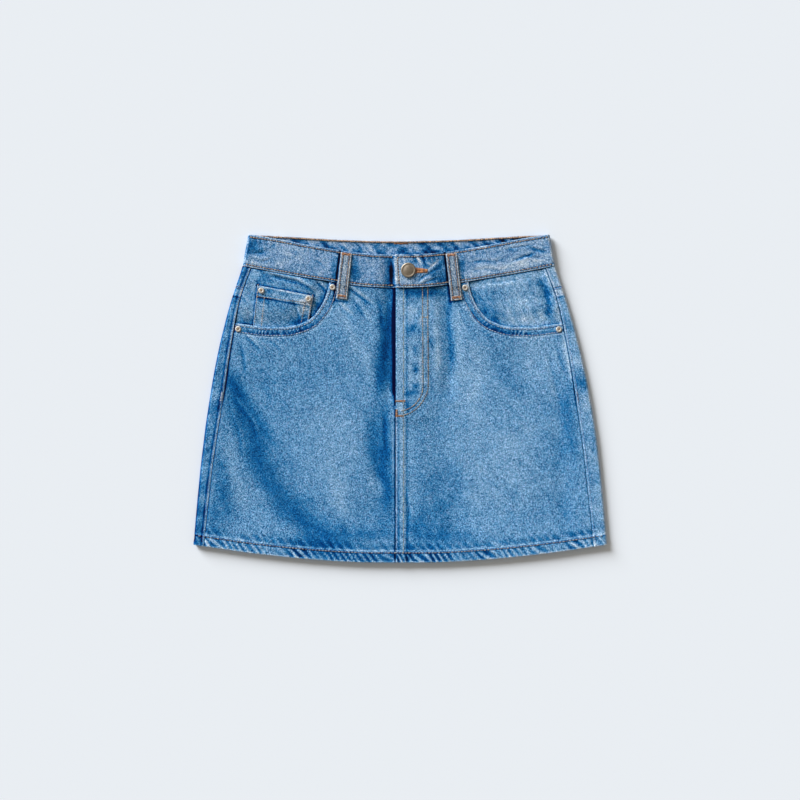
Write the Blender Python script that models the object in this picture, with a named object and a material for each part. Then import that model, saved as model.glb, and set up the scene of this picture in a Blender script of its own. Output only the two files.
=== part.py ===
"""A denim mini skirt with a button fly, laid flat on its back.

Run it with blender --background --python part.py, or from the text editor.
Sizes are in millimetres and are turned to metres when a mesh is made. +X is the
picture's right (the wearer's left), +Y points from the hem to the waist, and +Z
points up from the surface that the skirt lies on.
"""

import math

import bmesh
import bpy
import numpy as np
from mathutils.geometry import delaunay_2d_cdt

MM = 0.001

# Driving sizes
CLOTH = 1.1  # one layer of denim
SEAM_GAP = 0.3  # between two pieces at a seam
LAP_GAP = 0.5  # between two layers that lie on each other
BAND_THICK = 2.2  # the waistband is two layers
BAND_PROUD = 0.8  # how far the waistband stands over the panels
LOOP_THICK = 1.0
LOOP_WIDE = 12.6
HEM_DEEP = 12.8  # edge to stitch line
HEM_PROUD = 0.6  # the turned hem stands this far over the panel
SEAM_PROUD = 0.5  # so does the centre seam, below the fly
HEM_THICK = 2.2
FRONT_TOP = 5.5  # outer face of the front over the surface below, at pockets, hem and folds
FRONT_DIP = 1.6  # lower down the panels lie closer, with only two layers between
DIP_FROM_SIDE = 70.0
DIP_FROM_HEM = 60.0
DIP_BELOW_WAIST = (55.0, 115.0)  # the dip starts and is whole this far below the waist seam
BACK_LIFT = LOOP_THICK + SEAM_GAP  # the back waistband lies on its belt loops
LIFT_SHARE = 0.6  # how much of that lift reaches the front
FLY_X = -5.3  # the overlapping edge of the fly
FLY_BASE = -20.0  # the height where the fly ends and the centre seam starts
UNDERLAP = 8.0  # how far the right front runs on under the fly
FLY_EASE = (25.0, 55.0)  # from this far off its edge to this, the overlap's lift fades away
CENTRE_SEAM_EASE = (9.0, 14.0)  # the same for the seam below the fly
FLY_FOOT = (-18.0, 6.0)  # the overlap's lift grows between these, over the fly's base
TAB_END = FLY_X - 0.5  # the waistband's upper end
BAND_UNDER_END = 30.0  # the waistband's lower end, under the tab
TAB_EASE = (2.0, 34.0)  # past that end the tab comes down to the panel
BAND_FOLD_IN = 2.9  # the waistband's side folds start this far in from its corners
FACING_UNDER = 8.0  # how far a facing runs on under the front panel
SKEW = 1.7  # the upper part lies this far towards the wearer's right, away from the fly
SKEW_OUT = (8.0, 50.0)
SKEW_UP = (-60.0, 130.0)

# Outlines, each a short table. "out" is the distance from the centre line.
SIDE_LINE = (  # y, out: the folded edge at each side
    (-172.0, 240.4),
    (-107.0, 234.7),
    (-23.0, 224.7),
    (60.0, 209.1),
    (116.0, 194.0),
    (154.9, 181.2),
    (190.4, 175.0),
)
SEAM_INSET = (  # y, wearer's right, wearer's left: folded edge to side seam
    (-172.0, 12.6, 15.9),
    (-85.0, 14.0, 17.2),
    (4.0, 15.8, 16.6),
    (60.0, 13.6, 13.9),
    (129.0, 9.6, 10.4),
    (160.0, 10.9, 12.2),
)
FRONT_WAIST_SEAM = (  # out, y
    (0.0, 128.7),
    (50.0, 131.4),
    (75.0, 135.2),
    (110.0, 141.0),
    (160.0, 149.9),
    (181.2, 154.2),
)
FRONT_WAIST_TOP = (  # out, y
    (0.0, 167.0),
    (50.0, 169.6),
    (75.0, 173.3),
    (110.0, 179.3),
    (145.0, 186.0),
    (175.0, 190.4),
)
BACK_WAIST_SEAM = ((0.0, 146.4), (69.0, 148.2), (125.0, 151.2), (181.2, 154.2))
BACK_WAIST_TOP = ((0.0, 183.1), (69.0, 184.8), (125.0, 188.0), (175.0, 190.4))
YOKE_SEAM = ((0.0, 82.0), (95.0, 104.0), (190.0, 131.5))
HEM_EDGE = (  # out, y
    (0.0, -190.0),
    (42.0, -189.8),
    (97.0, -186.8),
    (153.0, -181.4),
    (181.0, -178.0),
    (209.0, -173.9),
    (240.4, -169.4),
)
POCKET_EDGE = (  # out, y: from the waist seam to the side seam
    (80.4, 137.2),
    (84.0, 121.5),
    (92.2, 105.0),
    (103.0, 92.8),
    (119.0, 85.6),
    (146.0, 83.2),
    (189.8, 87.8),
)
COIN_POCKET = (  # x, y: its four corners, the lower two under the front panel
    (-164.0, 131.7),
    (-99.1, 119.4),
    (-106.2, 82.5),
    (-170.2, 78.5),
)
COIN_BAND = 12.3  # turned edge along the coin pocket's top
COIN_THICK = 1.0

# Folds: panel, start x y, end x y, half width, height (troughs are negative)
FOLDS = (
    ("right", -13.0, 150.0, -12.0, 8.0, 8.0, -1.2),
    ("right", -13.0, 150.0, -13.0, 70.0, 8.0, -0.6),
    ("right", -199.0, 25.0, -101.0, -145.0, 17.0, -1.2),
    ("right", -160.0, 45.0, -75.0, -105.0, 20.0, 0.8),
    ("right", -27.0, -30.0, -25.0, -116.0, 9.0, -0.7),
    ("left", 52.0, 112.0, 57.0, 12.0, 7.0, -0.9),
    ("left", 42.0, 112.0, 44.0, 20.0, 6.0, 0.5),
    ("left", 48.0, -78.0, 64.0, -150.0, 14.0, -0.8),
    ("left", 184.0, 5.0, 190.0, -135.0, 9.0, -0.8),
    ("left", 100.0, 40.0, 135.0, -110.0, 26.0, 0.7),
)
# Folds in the two facings, in the same columns
FACING_FOLDS = (
    ("right", -140.0, 146.0, -104.0, 130.0, 4.5, 0.7),
    ("left", 164.0, 148.0, 173.0, 98.0, 5.0, -0.8),
)

RIVET_RADIUS = 3.7
RIVETS = (  # x, y, and what it goes through
    ("pocket_right_outer", -186.6, 80.9, "front"),
    ("pocket_right_inner", -76.9, 129.3, "front"),
    ("pocket_left_inner", 76.9, 128.8, "front"),
    ("pocket_left_outer", 185.3, 80.6, "front"),
    ("coin_outer", -159.3, 125.4, "coin"),
    ("coin_inner", -104.8, 115.8, "coin"),
)
BUTTON = (9.3, 148.9)  # x, y
BUTTON_RADIUS = 8.7
BUTTON_HIGH = 2.6
SHANK_RADIUS = 2.0
EYELET_RADIUS = 2.7
BUTTONHOLE_LONG = 23.0
BUTTONHOLE_WIDE = 1.0
FRONT_LOOPS = (  # name, top x y, bottom x y
    ("belt_loop_front_right", -60.7, 169.2, -66.5, 116.0),
    ("belt_loop_front_left", 60.6, 168.2, 66.9, 114.4),
)
BACK_LOOPS = (  # name, x
    ("belt_loop_back_right", -143.0),
    ("belt_loop_back_centre", 0.0),
    ("belt_loop_back_left", 143.0),
)
BACK_LOOP_BELOW = 16.0  # how far a back loop reaches below the waist seam

WAISTBAND_DEEP = FRONT_WAIST_TOP[0][1] - FRONT_WAIST_SEAM[0][1]

# How closely the solids follow their curves
PANEL_STEP = 12.5
EDGE_STEP = 9.0
FINE_STEP = 6.0

WASHED = (0.105, 0.245, 0.452)  # light blue indigo, stone washed
WASHED_BAND = (0.142, 0.262, 0.440)
METAL = (0.60, 0.57, 0.50)
BRASS = (0.27, 0.245, 0.185)


# Curves


def smooth_line(rows, column=1, flat_start=False):
    """A smooth line through a table, as a function of its first column."""
    at = np.array([row[0] for row in rows], float)
    value = np.array([row[column] for row in rows], float)
    slope = np.gradient(value, at)
    if flat_start:
        slope[0] = 0.0

    def line(x):
        x = np.clip(x, at[0], at[-1])
        i = np.clip(np.searchsorted(at, x, side="right") - 1, 0, len(at) - 2)
        span = at[i + 1] - at[i]
        t = (x - at[i]) / span
        return (
            (1 + 2 * t) * (1 - t) ** 2 * value[i]
            + t * (1 - t) ** 2 * span * slope[i]
            + t**2 * (3 - 2 * t) * value[i + 1]
            - t**2 * (1 - t) * span * slope[i + 1]
        )

    return line


def smooth_path(points, count):
    """count points along a smooth curve through the given ones."""
    points = np.array(points, float)
    along = np.concatenate([[0], np.cumsum(np.linalg.norm(np.diff(points, axis=0), axis=1))])
    at = np.linspace(0, along[-1], count)
    lines = [smooth_line(list(zip(along, points[:, k]))) for k in range(2)]
    return np.stack([line(at) for line in lines], axis=1)


def spaced(points, step):
    """The same polyline with its points about step apart."""
    points = np.array(points, float)
    along = np.concatenate([[0], np.cumsum(np.linalg.norm(np.diff(points, axis=0), axis=1))])
    at = np.linspace(0, along[-1], max(2, round(along[-1] / step) + 1))
    return np.stack([np.interp(at, along, points[:, k]) for k in range(2)], axis=1)


def ease(value, low, high):
    """0 below low, 1 above high, and smooth in between."""
    t = np.clip((value - low) / (high - low), 0, 1)
    return t * t * (3 - 2 * t)


side_out = smooth_line(SIDE_LINE)
inset_of = {
    "right": smooth_line(SEAM_INSET, 1),
    "left": smooth_line(SEAM_INSET, 2),
}
front_seam_y = smooth_line(FRONT_WAIST_SEAM, flat_start=True)
front_top_y = smooth_line(FRONT_WAIST_TOP, flat_start=True)
back_seam_y = smooth_line(BACK_WAIST_SEAM, flat_start=True)
back_top_y = smooth_line(BACK_WAIST_TOP, flat_start=True)
yoke_y = smooth_line(YOKE_SEAM)
hem_y = smooth_line(HEM_EDGE, flat_start=True)
pocket_path = smooth_path(POCKET_EDGE, 60)
pocket_x_order = np.argsort(pocket_path[:, 0])


def skewed(x, y):
    """Where a point of the straight skirt lies across, with its upper part pushed askew."""
    return x - SKEW * ease(np.abs(x), *SKEW_OUT) * ease(y, *SKEW_UP)


def sign_of(side):
    return -1.0 if side == "right" else 1.0


def seam_x(y, side):
    """The side seam's x at a height, on the wearer's right or left."""
    return sign_of(side) * (side_out(y) - inset_of[side](y))


def pocket_y(out):
    """The height of the pocket's edge at a distance from the centre line."""
    sorted_path = pocket_path[pocket_x_order]
    return np.interp(out, sorted_path[:, 0], sorted_path[:, 1])


def to_pocket_edge(x, y):
    """The distance from a point to the pocket's edge."""
    out = np.abs(np.asarray(x, float))[..., None]
    up = np.asarray(y, float)[..., None]
    return np.sqrt((out - pocket_path[:, 0]) ** 2 + (up - pocket_path[:, 1]) ** 2).min(-1)


# Heights over the surface below


def back_height(x, y):
    """The back's outer face: flat on the surface, and raised where its belt loops are."""
    below = back_seam_y(np.abs(x)) - y
    return BACK_LIFT * (1 - ease(below, BACK_LOOP_BELOW, BACK_LOOP_BELOW + 20.0))


def fold_height(x, y, side, folds):
    """What the folds of one side add at a point."""
    total = np.zeros(np.broadcast(x, y).shape)
    for panel, x0, y0, x1, y1, wide, high in folds:
        if panel != side:
            continue
        long = math.hypot(x1 - x0, y1 - y0)
        along_x, along_y = (x1 - x0) / long, (y1 - y0) / long
        along = (x - x0) * along_x + (y - y0) * along_y
        past = np.maximum(np.maximum(-along, along - long), 0) / 1.8
        away = (x - x0) * along_y - (y - y0) * along_x
        total = total + high * np.exp(-(away**2 + past**2) / wide**2)
    return total


def hem_share(x, y):
    """1 on the turned hem and 0 above it."""
    return 1 - ease(y - hem_y(np.abs(x)), HEM_DEEP - 1.5, HEM_DEEP + 1.5)


def dip_share(x, y):
    """1 where only the front and the back lie on each other, and 0 near folds, hem and pockets."""
    out = np.abs(x)
    from_side = ease(side_out(y) - out, 6.0, DIP_FROM_SIDE)
    from_hem = ease(y - hem_y(out), HEM_DEEP + 2.0, DIP_FROM_HEM)
    return from_side * from_hem * ease(front_seam_y(out) - y, *DIP_BELOW_WAIST)


def front_height(x, y, side):
    """The outer face of the front, without the overlap at the fly."""
    x, y = np.asarray(x, float), np.asarray(y, float)
    level = FRONT_TOP - FRONT_DIP * dip_share(x, y) + LIFT_SHARE * back_height(x, y)
    return level + fold_height(x, y, side, FOLDS) + HEM_PROUD * hem_share(x, y)


def fly_lift(x, y):
    """How far the left front is raised where it lies on the right one, and on the seam below."""
    lap = (CLOTH + LAP_GAP) * (1 - ease(x - FLY_X, *FLY_EASE))
    seam = SEAM_PROUD * (1 - ease(x - FLY_X, *CENTRE_SEAM_EASE))
    fly = ease(y - FLY_BASE, *FLY_FOOT)
    return lap * fly + seam * (1 - fly)


def tab_lift(x):
    """How far the waistband is raised where it lies on its own lower end."""
    return (BAND_THICK + LAP_GAP) * (1 - ease(x - BAND_UNDER_END, *TAB_EASE))


def panel_top(x, y, side):
    """The outer face of a front panel."""
    top = front_height(x, y, side)
    return top + fly_lift(np.asarray(x, float), np.asarray(y, float)) if side == "left" else top


def band_top(x, y, side):
    """The outer face of the waistband's front."""
    top = front_height(x, y, side) + BAND_PROUD
    return top + tab_lift(np.asarray(x, float)) if side == "left" else top


def panel_thick(x, y):
    return CLOTH + (HEM_THICK - CLOTH) * hem_share(x, y)


def facing_top(x, y, side):
    """The pocket facing: level with the front at its seams, and lower at the pocket's edge."""
    x, y = np.asarray(x, float), np.asarray(y, float)
    out = np.abs(x)
    drop = np.full(x.shape, CLOTH + LAP_GAP)
    if side == "right":  # the coin pocket goes under the front panel too
        coin_room = COIN_THICK + SEAM_GAP
        drop = drop + coin_room * ease(out, 90, 104) * (1 - ease(out, 172, 182))
    open_part = (out > POCKET_EDGE[0][0]) & (y > pocket_y(out))
    near = np.where(open_part, 1 - ease(to_pocket_edge(x, y), 1.0, 24.0), 1.0)
    folds = fold_height(x, y, side, FACING_FOLDS)
    return front_height(x, y, side) - drop * near + folds * (1 - near)


def coin_top(x, y):
    """The outer face of the coin pocket, which lies on the right facing."""
    (x0, y0), (x1, y1) = COIN_POCKET[0], COIN_POCKET[1]
    long = math.hypot(x1 - x0, y1 - y0)
    below = ((x - x0) * (y1 - y0) - (y - y0) * (x1 - x0)) / long
    band = 0.5 * (1 - ease(below, COIN_BAND - 1.5, COIN_BAND + 1.5))
    return facing_top(x, y, "right") + SEAM_GAP + COIN_THICK + band


# Meshes


def material(name, colour, rough, metallic=0.0):
    made = bpy.data.materials.new(name)
    made.use_nodes = True
    shader = made.node_tree.nodes["Principled BSDF"]
    shader.inputs["Base Color"].default_value = (*colour, 1.0)
    shader.inputs["Roughness"].default_value = rough
    shader.inputs["Metallic"].default_value = metallic
    return made


def add_object(name, points, faces, finish):
    """A closed mesh from points in millimetres, with its faces turned outwards."""
    points = np.array(points, float)
    points[:, 0] = skewed(points[:, 0], points[:, 1])
    mesh = bpy.data.meshes.new(name)
    mesh.from_pydata([tuple(p) for p in points * MM], [], faces)
    work = bmesh.new()
    work.from_mesh(mesh)
    bmesh.ops.recalc_face_normals(work, faces=work.faces)
    work.to_mesh(mesh)
    work.free()
    mesh.materials.append(finish)
    made = bpy.data.objects.new(name, mesh)
    bpy.context.scene.collection.objects.link(made)
    return made


def wall_from_grids(name, outer, inner, finish):
    """A wall between two grids of points with the same rows and columns."""
    rows, columns = outer.shape[:2]
    size = rows * columns
    points = np.concatenate([outer.reshape(-1, 3), inner.reshape(-1, 3)])
    faces = []
    for r in range(rows - 1):
        for c in range(columns - 1):
            a, b = r * columns + c, r * columns + c + 1
            d, e = a + columns, b + columns
            faces.append((a, b, e, d))
            faces.append((d + size, e + size, b + size, a + size))
    rim = [(0, c) for c in range(columns - 1)]
    rim += [(r, columns - 1) for r in range(rows - 1)]
    rim += [(rows - 1, c) for c in range(columns - 1, 0, -1)]
    rim += [(r, 0) for r in range(rows - 1, 0, -1)]
    ring = [r * columns + c for r, c in rim]
    for a, b in zip(ring, ring[1:] + ring[:1]):
        faces.append((b, a, a + size, b + size))
    return add_object(name, points, faces, finish)


def inside(points, outline):
    """Which points lie inside a closed outline."""
    x, y = points[:, 0], points[:, 1]
    found = np.zeros(len(points), bool)
    for (x0, y0), (x1, y1) in zip(outline, np.roll(outline, -1, axis=0)):
        crosses = (y0 > y) != (y1 > y)
        run = (x1 - x0) * (y - y0) / np.where(y1 == y0, 1.0, y1 - y0) + x0
        found ^= crosses & (x < run)
    return found


def clear_of(points, others, least):
    """The points that are at least that far from all the others."""
    away = np.sqrt(((points[:, None] - others[None]) ** 2).sum(-1)).min(1)
    return points[away >= least]


def lattice(outline, step):
    """Points of an even triangular pattern inside an outline."""
    low, high = outline.min(0), outline.max(0)
    rise = step * math.sqrt(3) / 2
    found = []
    for i, y in enumerate(np.arange(low[1], high[1], rise)):
        xs = np.arange(low[0] + step / 2 * (i % 2), high[0], step)
        found.append(np.stack([xs, np.full(len(xs), y)], 1))
    points = np.concatenate(found)
    return points[inside(points, outline)]


def panel(name, outline, top, thick, finish, extra=(), step=PANEL_STEP):
    """A flat piece of cloth of any outline, whose faces follow height functions."""
    outline = np.array(outline, float)
    chosen = [outline]
    for points, least in [*extra, (lattice(outline, step), step * 0.62)]:
        points = np.array(points, float).reshape(-1, 2)
        points = points[inside(points, outline)]
        taken = np.concatenate(chosen)
        chosen.append(clear_of(points, taken, least))
    flat = np.concatenate(chosen)
    ring = list(range(len(outline)))
    edges = list(zip(ring, ring[1:] + ring[:1]))
    points, _, triangles, *_ = delaunay_2d_cdt([tuple(p) for p in flat], edges, [], 1, 1e-5)
    points = np.array([tuple(p) for p in points])
    x, y = points[:, 0], points[:, 1]
    upper = top(x, y)
    lower = upper - thick(x, y)
    size = len(points)
    both = np.concatenate([np.stack([x, y, upper], 1), np.stack([x, y, lower], 1)])
    faces = [tuple(t) for t in triangles]
    faces += [tuple(i + size for i in reversed(t)) for t in triangles]
    uses = {}
    for t in triangles:
        for a, b in zip(t, t[1:] + t[:1]):
            uses[frozenset((a, b))] = (a, b) if frozenset((a, b)) not in uses else None
    faces += [(b, a, a + size, b + size) for a, b in filter(None, uses.values())]
    return add_object(name, both, faces, finish)


# The pieces


def front_outline(side):
    """A front panel's outline: side seam, hem, centre front, waist seam and pocket edge."""
    s = sign_of(side)
    gap = SEAM_GAP / 2
    corner_y = POCKET_EDGE[-1][1]
    hem_corner_y = hem_y(abs(seam_x(HEM_EDGE[-1][1], side)))
    levels = np.linspace(corner_y, hem_corner_y, 60)
    side_edge = np.stack([seam_x(levels, side) - s * gap, levels], 1)
    seam_at = FLY_X + s * gap
    across = np.linspace(side_edge[-1, 0], seam_at, 60)
    hem = np.stack([across, hem_y(np.abs(across))], 1)
    top_x = FLY_X + UNDERLAP if side == "right" else seam_at
    centre_top = front_seam_y(abs(top_x)) - gap
    centre = [hem[-1], (seam_at, FLY_BASE + 8), (top_x, FLY_BASE + 12), (top_x, centre_top)]
    across = np.linspace(top_x, s * POCKET_EDGE[0][0], 60)
    waist = np.stack([across, front_seam_y(np.abs(across)) - gap], 1)
    pocket = pocket_path * (s, 1)
    pocket[0] = waist[-1]
    pocket[-1] = side_edge[0]
    parts = (side_edge, hem, *zip(centre, centre[1:]), waist, pocket)
    steps = (EDGE_STEP,) * (len(parts) - 1) + (FINE_STEP,)
    return np.concatenate([spaced(part, step)[:-1] for part, step in zip(parts, steps)])


def hem_lines(side):
    """Points along both sides of the hem's stitch line, so that its step is crisp."""
    s = sign_of(side)
    rows = []
    for up in (HEM_DEEP - 1.6, HEM_DEEP + 1.6):
        far = abs(seam_x(-165.0, side)) - 1.5
        near = 1.5 - FLY_X if side == "right" else FLY_X + 1.5
        out = np.arange(far, near, -EDGE_STEP * 1.2)
        rows.append(np.stack([s * out, hem_y(np.abs(out)) + up], 1))
    return np.concatenate(rows)


def fold_lines(side):
    """Points along the folds, so that they stay round in a coarse mesh."""
    rows = []
    for panel_side, x0, y0, x1, y1, wide, _ in FOLDS:
        if panel_side != side or wide > 10:
            continue
        long = math.hypot(x1 - x0, y1 - y0)
        across = np.array(((y1 - y0) / long, -(x1 - x0) / long))
        for off in (0.0, -0.9 * wide, 0.9 * wide):
            t = np.arange(0, 1.0001, PANEL_STEP / long)[:, None]
            line = np.array((x0, y0)) + t * np.array((x1 - x0, y1 - y0))
            rows.append(line + across * off)
    return np.concatenate(rows)


def make_fronts(finish):
    for side in ("right", "left"):
        extra = [(hem_lines(side), 1.0), (fold_lines(side), 3.5)]
        panel(
            f"front_{side}",
            front_outline(side),
            lambda x, y, side=side: panel_top(x, y, side),
            panel_thick,
            finish,
            extra,
        )


def level_y(x, share, top_line, low_line):
    out = np.abs(x)
    return top_line(out) * (1 - share) + low_line(out) * share


def back_section(side, share, top_back, top_front, low_line, lower_gap, upper_gap):
    """One row round a back piece: centre back, the folded side, and the side seam on the front."""
    s = sign_of(side)
    wide = side_out(0.0)
    for _ in range(12):
        wide = side_out(level_y(wide, share, top_front, low_line))
    level = level_y(wide, share, top_front, low_line)
    low = float(back_height(wide, level))
    high = float(front_height(s * wide, level, side))
    radius = (high - low) / 2
    rows = []
    for out in np.linspace(SEAM_GAP / 2, wide - radius, 12):
        y = level_y(out, share, top_back, low_line)
        z = float(back_height(out, y))
        thick = float(panel_thick(out, y))
        rows.append(((out, y, z), (out, y, z + thick)))
    for angle in np.linspace(-90, 90, 8)[1:]:
        turn = math.radians(angle)
        out = wide - radius + radius * math.cos(turn)
        part = (1 + math.sin(turn)) / 2
        y = (1 - part) * level_y(out, share, top_back, low_line)
        y += part * level_y(out, share, top_front, low_line)
        thick = float(panel_thick(out, y))
        middle = low + radius
        inner = radius - thick
        rows.append(
            (
                (out, y, middle + radius * math.sin(turn)),
                (wide - radius + inner * math.cos(turn), y, middle + inner * math.sin(turn)),
            )
        )
    end = wide
    for _ in range(8):
        end = abs(seam_x(level_y(end, share, top_front, low_line), side)) + SEAM_GAP / 2
    for out in np.linspace(wide - radius, end, 4)[1:]:
        y = level_y(out, share, top_front, low_line)
        z = float(front_height(s * out, y, side))
        thick = float(panel_thick(out, y))
        rows.append(((out, y, z), (out, y, z - thick)))
    shift = lower_gap * share - upper_gap * (1 - share)
    outer = [(s * o[0], o[1] + shift, o[2]) for o, _ in rows]
    inner = [(s * i[0], i[1] + shift, i[2]) for _, i in rows]
    return outer, inner


def hem_shares(top, bottom):
    """Row positions from a seam to the hem, with a row on each side of the hem's step."""
    long = top - bottom
    step = np.array([HEM_DEEP + 1.6, HEM_DEEP - 1.6, 0.0]) / long
    plain = np.linspace(0, 1 - step[0], 17)
    return np.concatenate([plain, 1 - step[1:]])


def make_backs(finish):
    gap = SEAM_GAP / 2
    for side in ("right", "left"):
        for name, shares, lines, gaps in (
            (
                f"yoke_{side}",
                np.linspace(0, 1, 6),
                (back_seam_y, front_seam_y, yoke_y),
                (gap, gap),
            ),
            (
                f"back_{side}",
                hem_shares(100.0, -180.0),
                (yoke_y, yoke_y, hem_y),
                (0.0, gap),
            ),
        ):
            grids = [back_section(side, share, *lines, *gaps) for share in shares]
            outer = np.array([g[0] for g in grids])
            inner = np.array([g[1] for g in grids])
            wall_from_grids(name, outer, inner, finish)


def band_row(share):
    """One row of the waistband, from its lower end under the tab, round the back, to the tab."""
    corner = float(
        (1 - share) * FRONT_WAIST_SEAM[-1][0] + share * FRONT_WAIST_TOP[-1][0]
    )
    rows = []

    def front(x, side):
        out = abs(x)
        y = (1 - share) * front_seam_y(out) + share * front_top_y(out)
        z = float(band_top(x, y, side))
        rows.append(((x, y, z), (x, y, z - BAND_THICK)))

    def fold(side):
        s = sign_of(side)
        y = (1 - share) * FRONT_WAIST_SEAM[-1][1] + share * FRONT_WAIST_TOP[-1][1]
        high = float(band_top(s * corner, y, side))
        radius = (high - BACK_LIFT) / 2
        middle = BACK_LIFT + radius
        inner = radius - BAND_THICK
        angles = np.linspace(90, -90, 9)[1:-1]
        for angle in angles if side == "right" else reversed(angles):
            turn = math.radians(angle)
            rows.append(
                (
                    (
                        s * (corner - radius + radius * math.cos(turn)),
                        y,
                        middle + radius * math.sin(turn),
                    ),
                    (
                        s * (corner - radius + inner * math.cos(turn)),
                        y,
                        middle + inner * math.sin(turn),
                    ),
                )
            )
        return corner - radius

    reach = corner - BAND_FOLD_IN
    for x in np.linspace(BAND_UNDER_END, -reach, 20):
        front(x, "right")
    fold("right")
    for x in np.linspace(-reach, reach, 20):
        out = abs(x)
        y = (1 - share) * back_seam_y(out) + share * back_top_y(out)
        rows.append(((x, y, BACK_LIFT), (x, y, BACK_LIFT + BAND_THICK)))
    fold("left")
    for x in np.linspace(reach, TAB_END, 20):
        front(x, "left")
    return rows


def make_waistband(finish):
    gap = SEAM_GAP / 2 / WAISTBAND_DEEP
    grids = [band_row(share) for share in (gap, 0.35, 0.68, 1.0)]
    outer = np.array([[o for o, _ in row] for row in grids])
    inner = np.array([[i for _, i in row] for row in grids])
    band = wall_from_grids("waistband", outer, inner, finish)
    cut_buttonhole(band)


def cut_buttonhole(band):
    """A keyhole cut through the tab: a round eye for the shank and a slit."""
    x, y = BUTTON
    tab_low = float(band_top(x, y, "left")) - BAND_THICK
    under = float(band_top(x, y, "right"))
    turns = np.radians(np.linspace(20, 340, 15))
    half = BUTTONHOLE_WIDE / 2
    ring = [(x + EYELET_RADIUS * math.cos(t), y + EYELET_RADIUS * math.sin(t)) for t in turns]
    outline = [(x + BUTTONHOLE_LONG, y + half), *ring, (x + BUTTONHOLE_LONG, y - half)]
    outline.insert(1, (x + EYELET_RADIUS, y + half))
    outline.insert(-1, (x + EYELET_RADIUS, y - half))
    size = len(outline)
    levels = ((tab_low + under) / 2, tab_low + BAND_THICK + 4)
    points = [(px, py, z) for z in levels for px, py in outline]
    faces = [tuple(range(size)), tuple(range(size, 2 * size))]
    faces += [(i, (i + 1) % size, (i + 1) % size + size, i + size) for i in range(size)]
    cutter = add_object("buttonhole_cutter", points, faces, band.data.materials[0])
    cutter.hide_render = True
    cutter.display_type = "WIRE"
    cut = band.modifiers.new("buttonhole", "BOOLEAN")
    cut.operation = "DIFFERENCE"
    cut.object = cutter


def facing_outline(side):
    """The facing's outline: it runs on under the front panel, past the pocket's edge."""
    s = sign_of(side)
    gap = SEAM_GAP / 2
    tangent = np.gradient(pocket_path, axis=0)
    normal = np.stack([-tangent[:, 1], tangent[:, 0]], 1)
    normal /= np.linalg.norm(normal, axis=1)[:, None]
    hidden = pocket_path - FACING_UNDER * normal
    if hidden[0, 0] > pocket_path[0, 0]:
        hidden = pocket_path + FACING_UNDER * normal
    hidden[0, 1] = front_seam_y(hidden[0, 0]) - gap
    hidden = hidden[hidden[:, 1] <= hidden[0, 1] + 1e-6]
    low_y = hidden[-1, 1]
    hidden[-1, 0] = abs(seam_x(low_y, side)) - gap
    hidden = hidden[(hidden[:, 0] < hidden[-1, 0] - 4) | (hidden[:, 1] == low_y)]
    waist_corner = abs(seam_x(front_seam_y(171.0), side)) - gap
    levels = np.linspace(low_y, front_seam_y(waist_corner) - gap, 30)
    side_edge = np.stack([np.abs(seam_x(levels, side)) - gap, levels], 1)
    out = np.linspace(side_edge[-1, 0], hidden[0, 0], 30)
    waist = np.stack([out, front_seam_y(out) - gap], 1)
    loop = [spaced(part, FINE_STEP)[:-1] for part in (hidden, side_edge, waist)]
    return np.concatenate(loop) * (s, 1)


def make_facings(finish):
    for side in ("right", "left"):
        panel(
            f"pocket_facing_{side}",
            facing_outline(side),
            lambda x, y, side=side: facing_top(x, y, side),
            lambda x, y: np.full(np.shape(x), CLOTH),
            finish,
            step=FINE_STEP,
        )


def make_coin_pocket(finish):
    corners = [np.array(c) for c in COIN_POCKET]
    sides = list(zip(corners, corners[1:] + corners[:1]))
    outline = np.concatenate([spaced(pair, FINE_STEP)[:-1] for pair in sides])
    panel(
        "coin_pocket",
        outline,
        coin_top,
        lambda x, y: coin_top(x, y) - facing_top(x, y, "right") - SEAM_GAP,
        finish,
        step=FINE_STEP,
    )


def make_front_loop(name, top, bottom, finish):
    """A belt loop that lies on the waistband and is sewn down on the panel below it."""
    top, bottom = np.array(top), np.array(bottom)
    side = "right" if top[0] < 0 else "left"
    along = (bottom - top) / np.linalg.norm(bottom - top)
    across = np.array((-along[1], along[0]))
    stations = np.linspace(0, 1, 15)

    def under(point):
        x, y = point
        if y > front_seam_y(abs(x)) - 1.0:
            return float(band_top(x, y, side))
        return float(panel_top(x, y, side))

    heights = []
    for t in stations:
        near = [
            under(top + (bottom - top) * min(1, max(0, t + dt)) + across * dx)
            for dt in (-0.06, 0, 0.06)
            for dx in (-LOOP_WIDE / 2, 0, LOOP_WIDE / 2)
        ]
        heights.append(max(near) + SEAM_GAP)
    outer, inner = [], []
    for t, low in zip(stations, heights):
        middle = top + (bottom - top) * t
        thick = LOOP_THICK + 0.4 * math.sin(math.pi * t)
        places = [middle + across * dx for dx in (-LOOP_WIDE / 2, 0, LOOP_WIDE / 2)]
        outer.append([(*p, low + thick) for p in places])
        inner.append([(*p, low) for p in places])
    wall_from_grids(name, np.array(outer), np.array(inner), finish)


def make_back_loop(name, x, finish):
    """A flat belt loop under the back waistband."""
    ys = np.linspace(back_top_y(abs(x)), back_seam_y(abs(x)) - BACK_LOOP_BELOW + 1.0, 7)
    xs = (x - LOOP_WIDE / 2, x, x + LOOP_WIDE / 2)
    outer = np.array([[(px, y, 0.0) for px in xs] for y in ys])
    inner = np.array([[(px, y, LOOP_THICK) for px in xs] for y in ys])
    wall_from_grids(name, outer, inner, finish)


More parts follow.
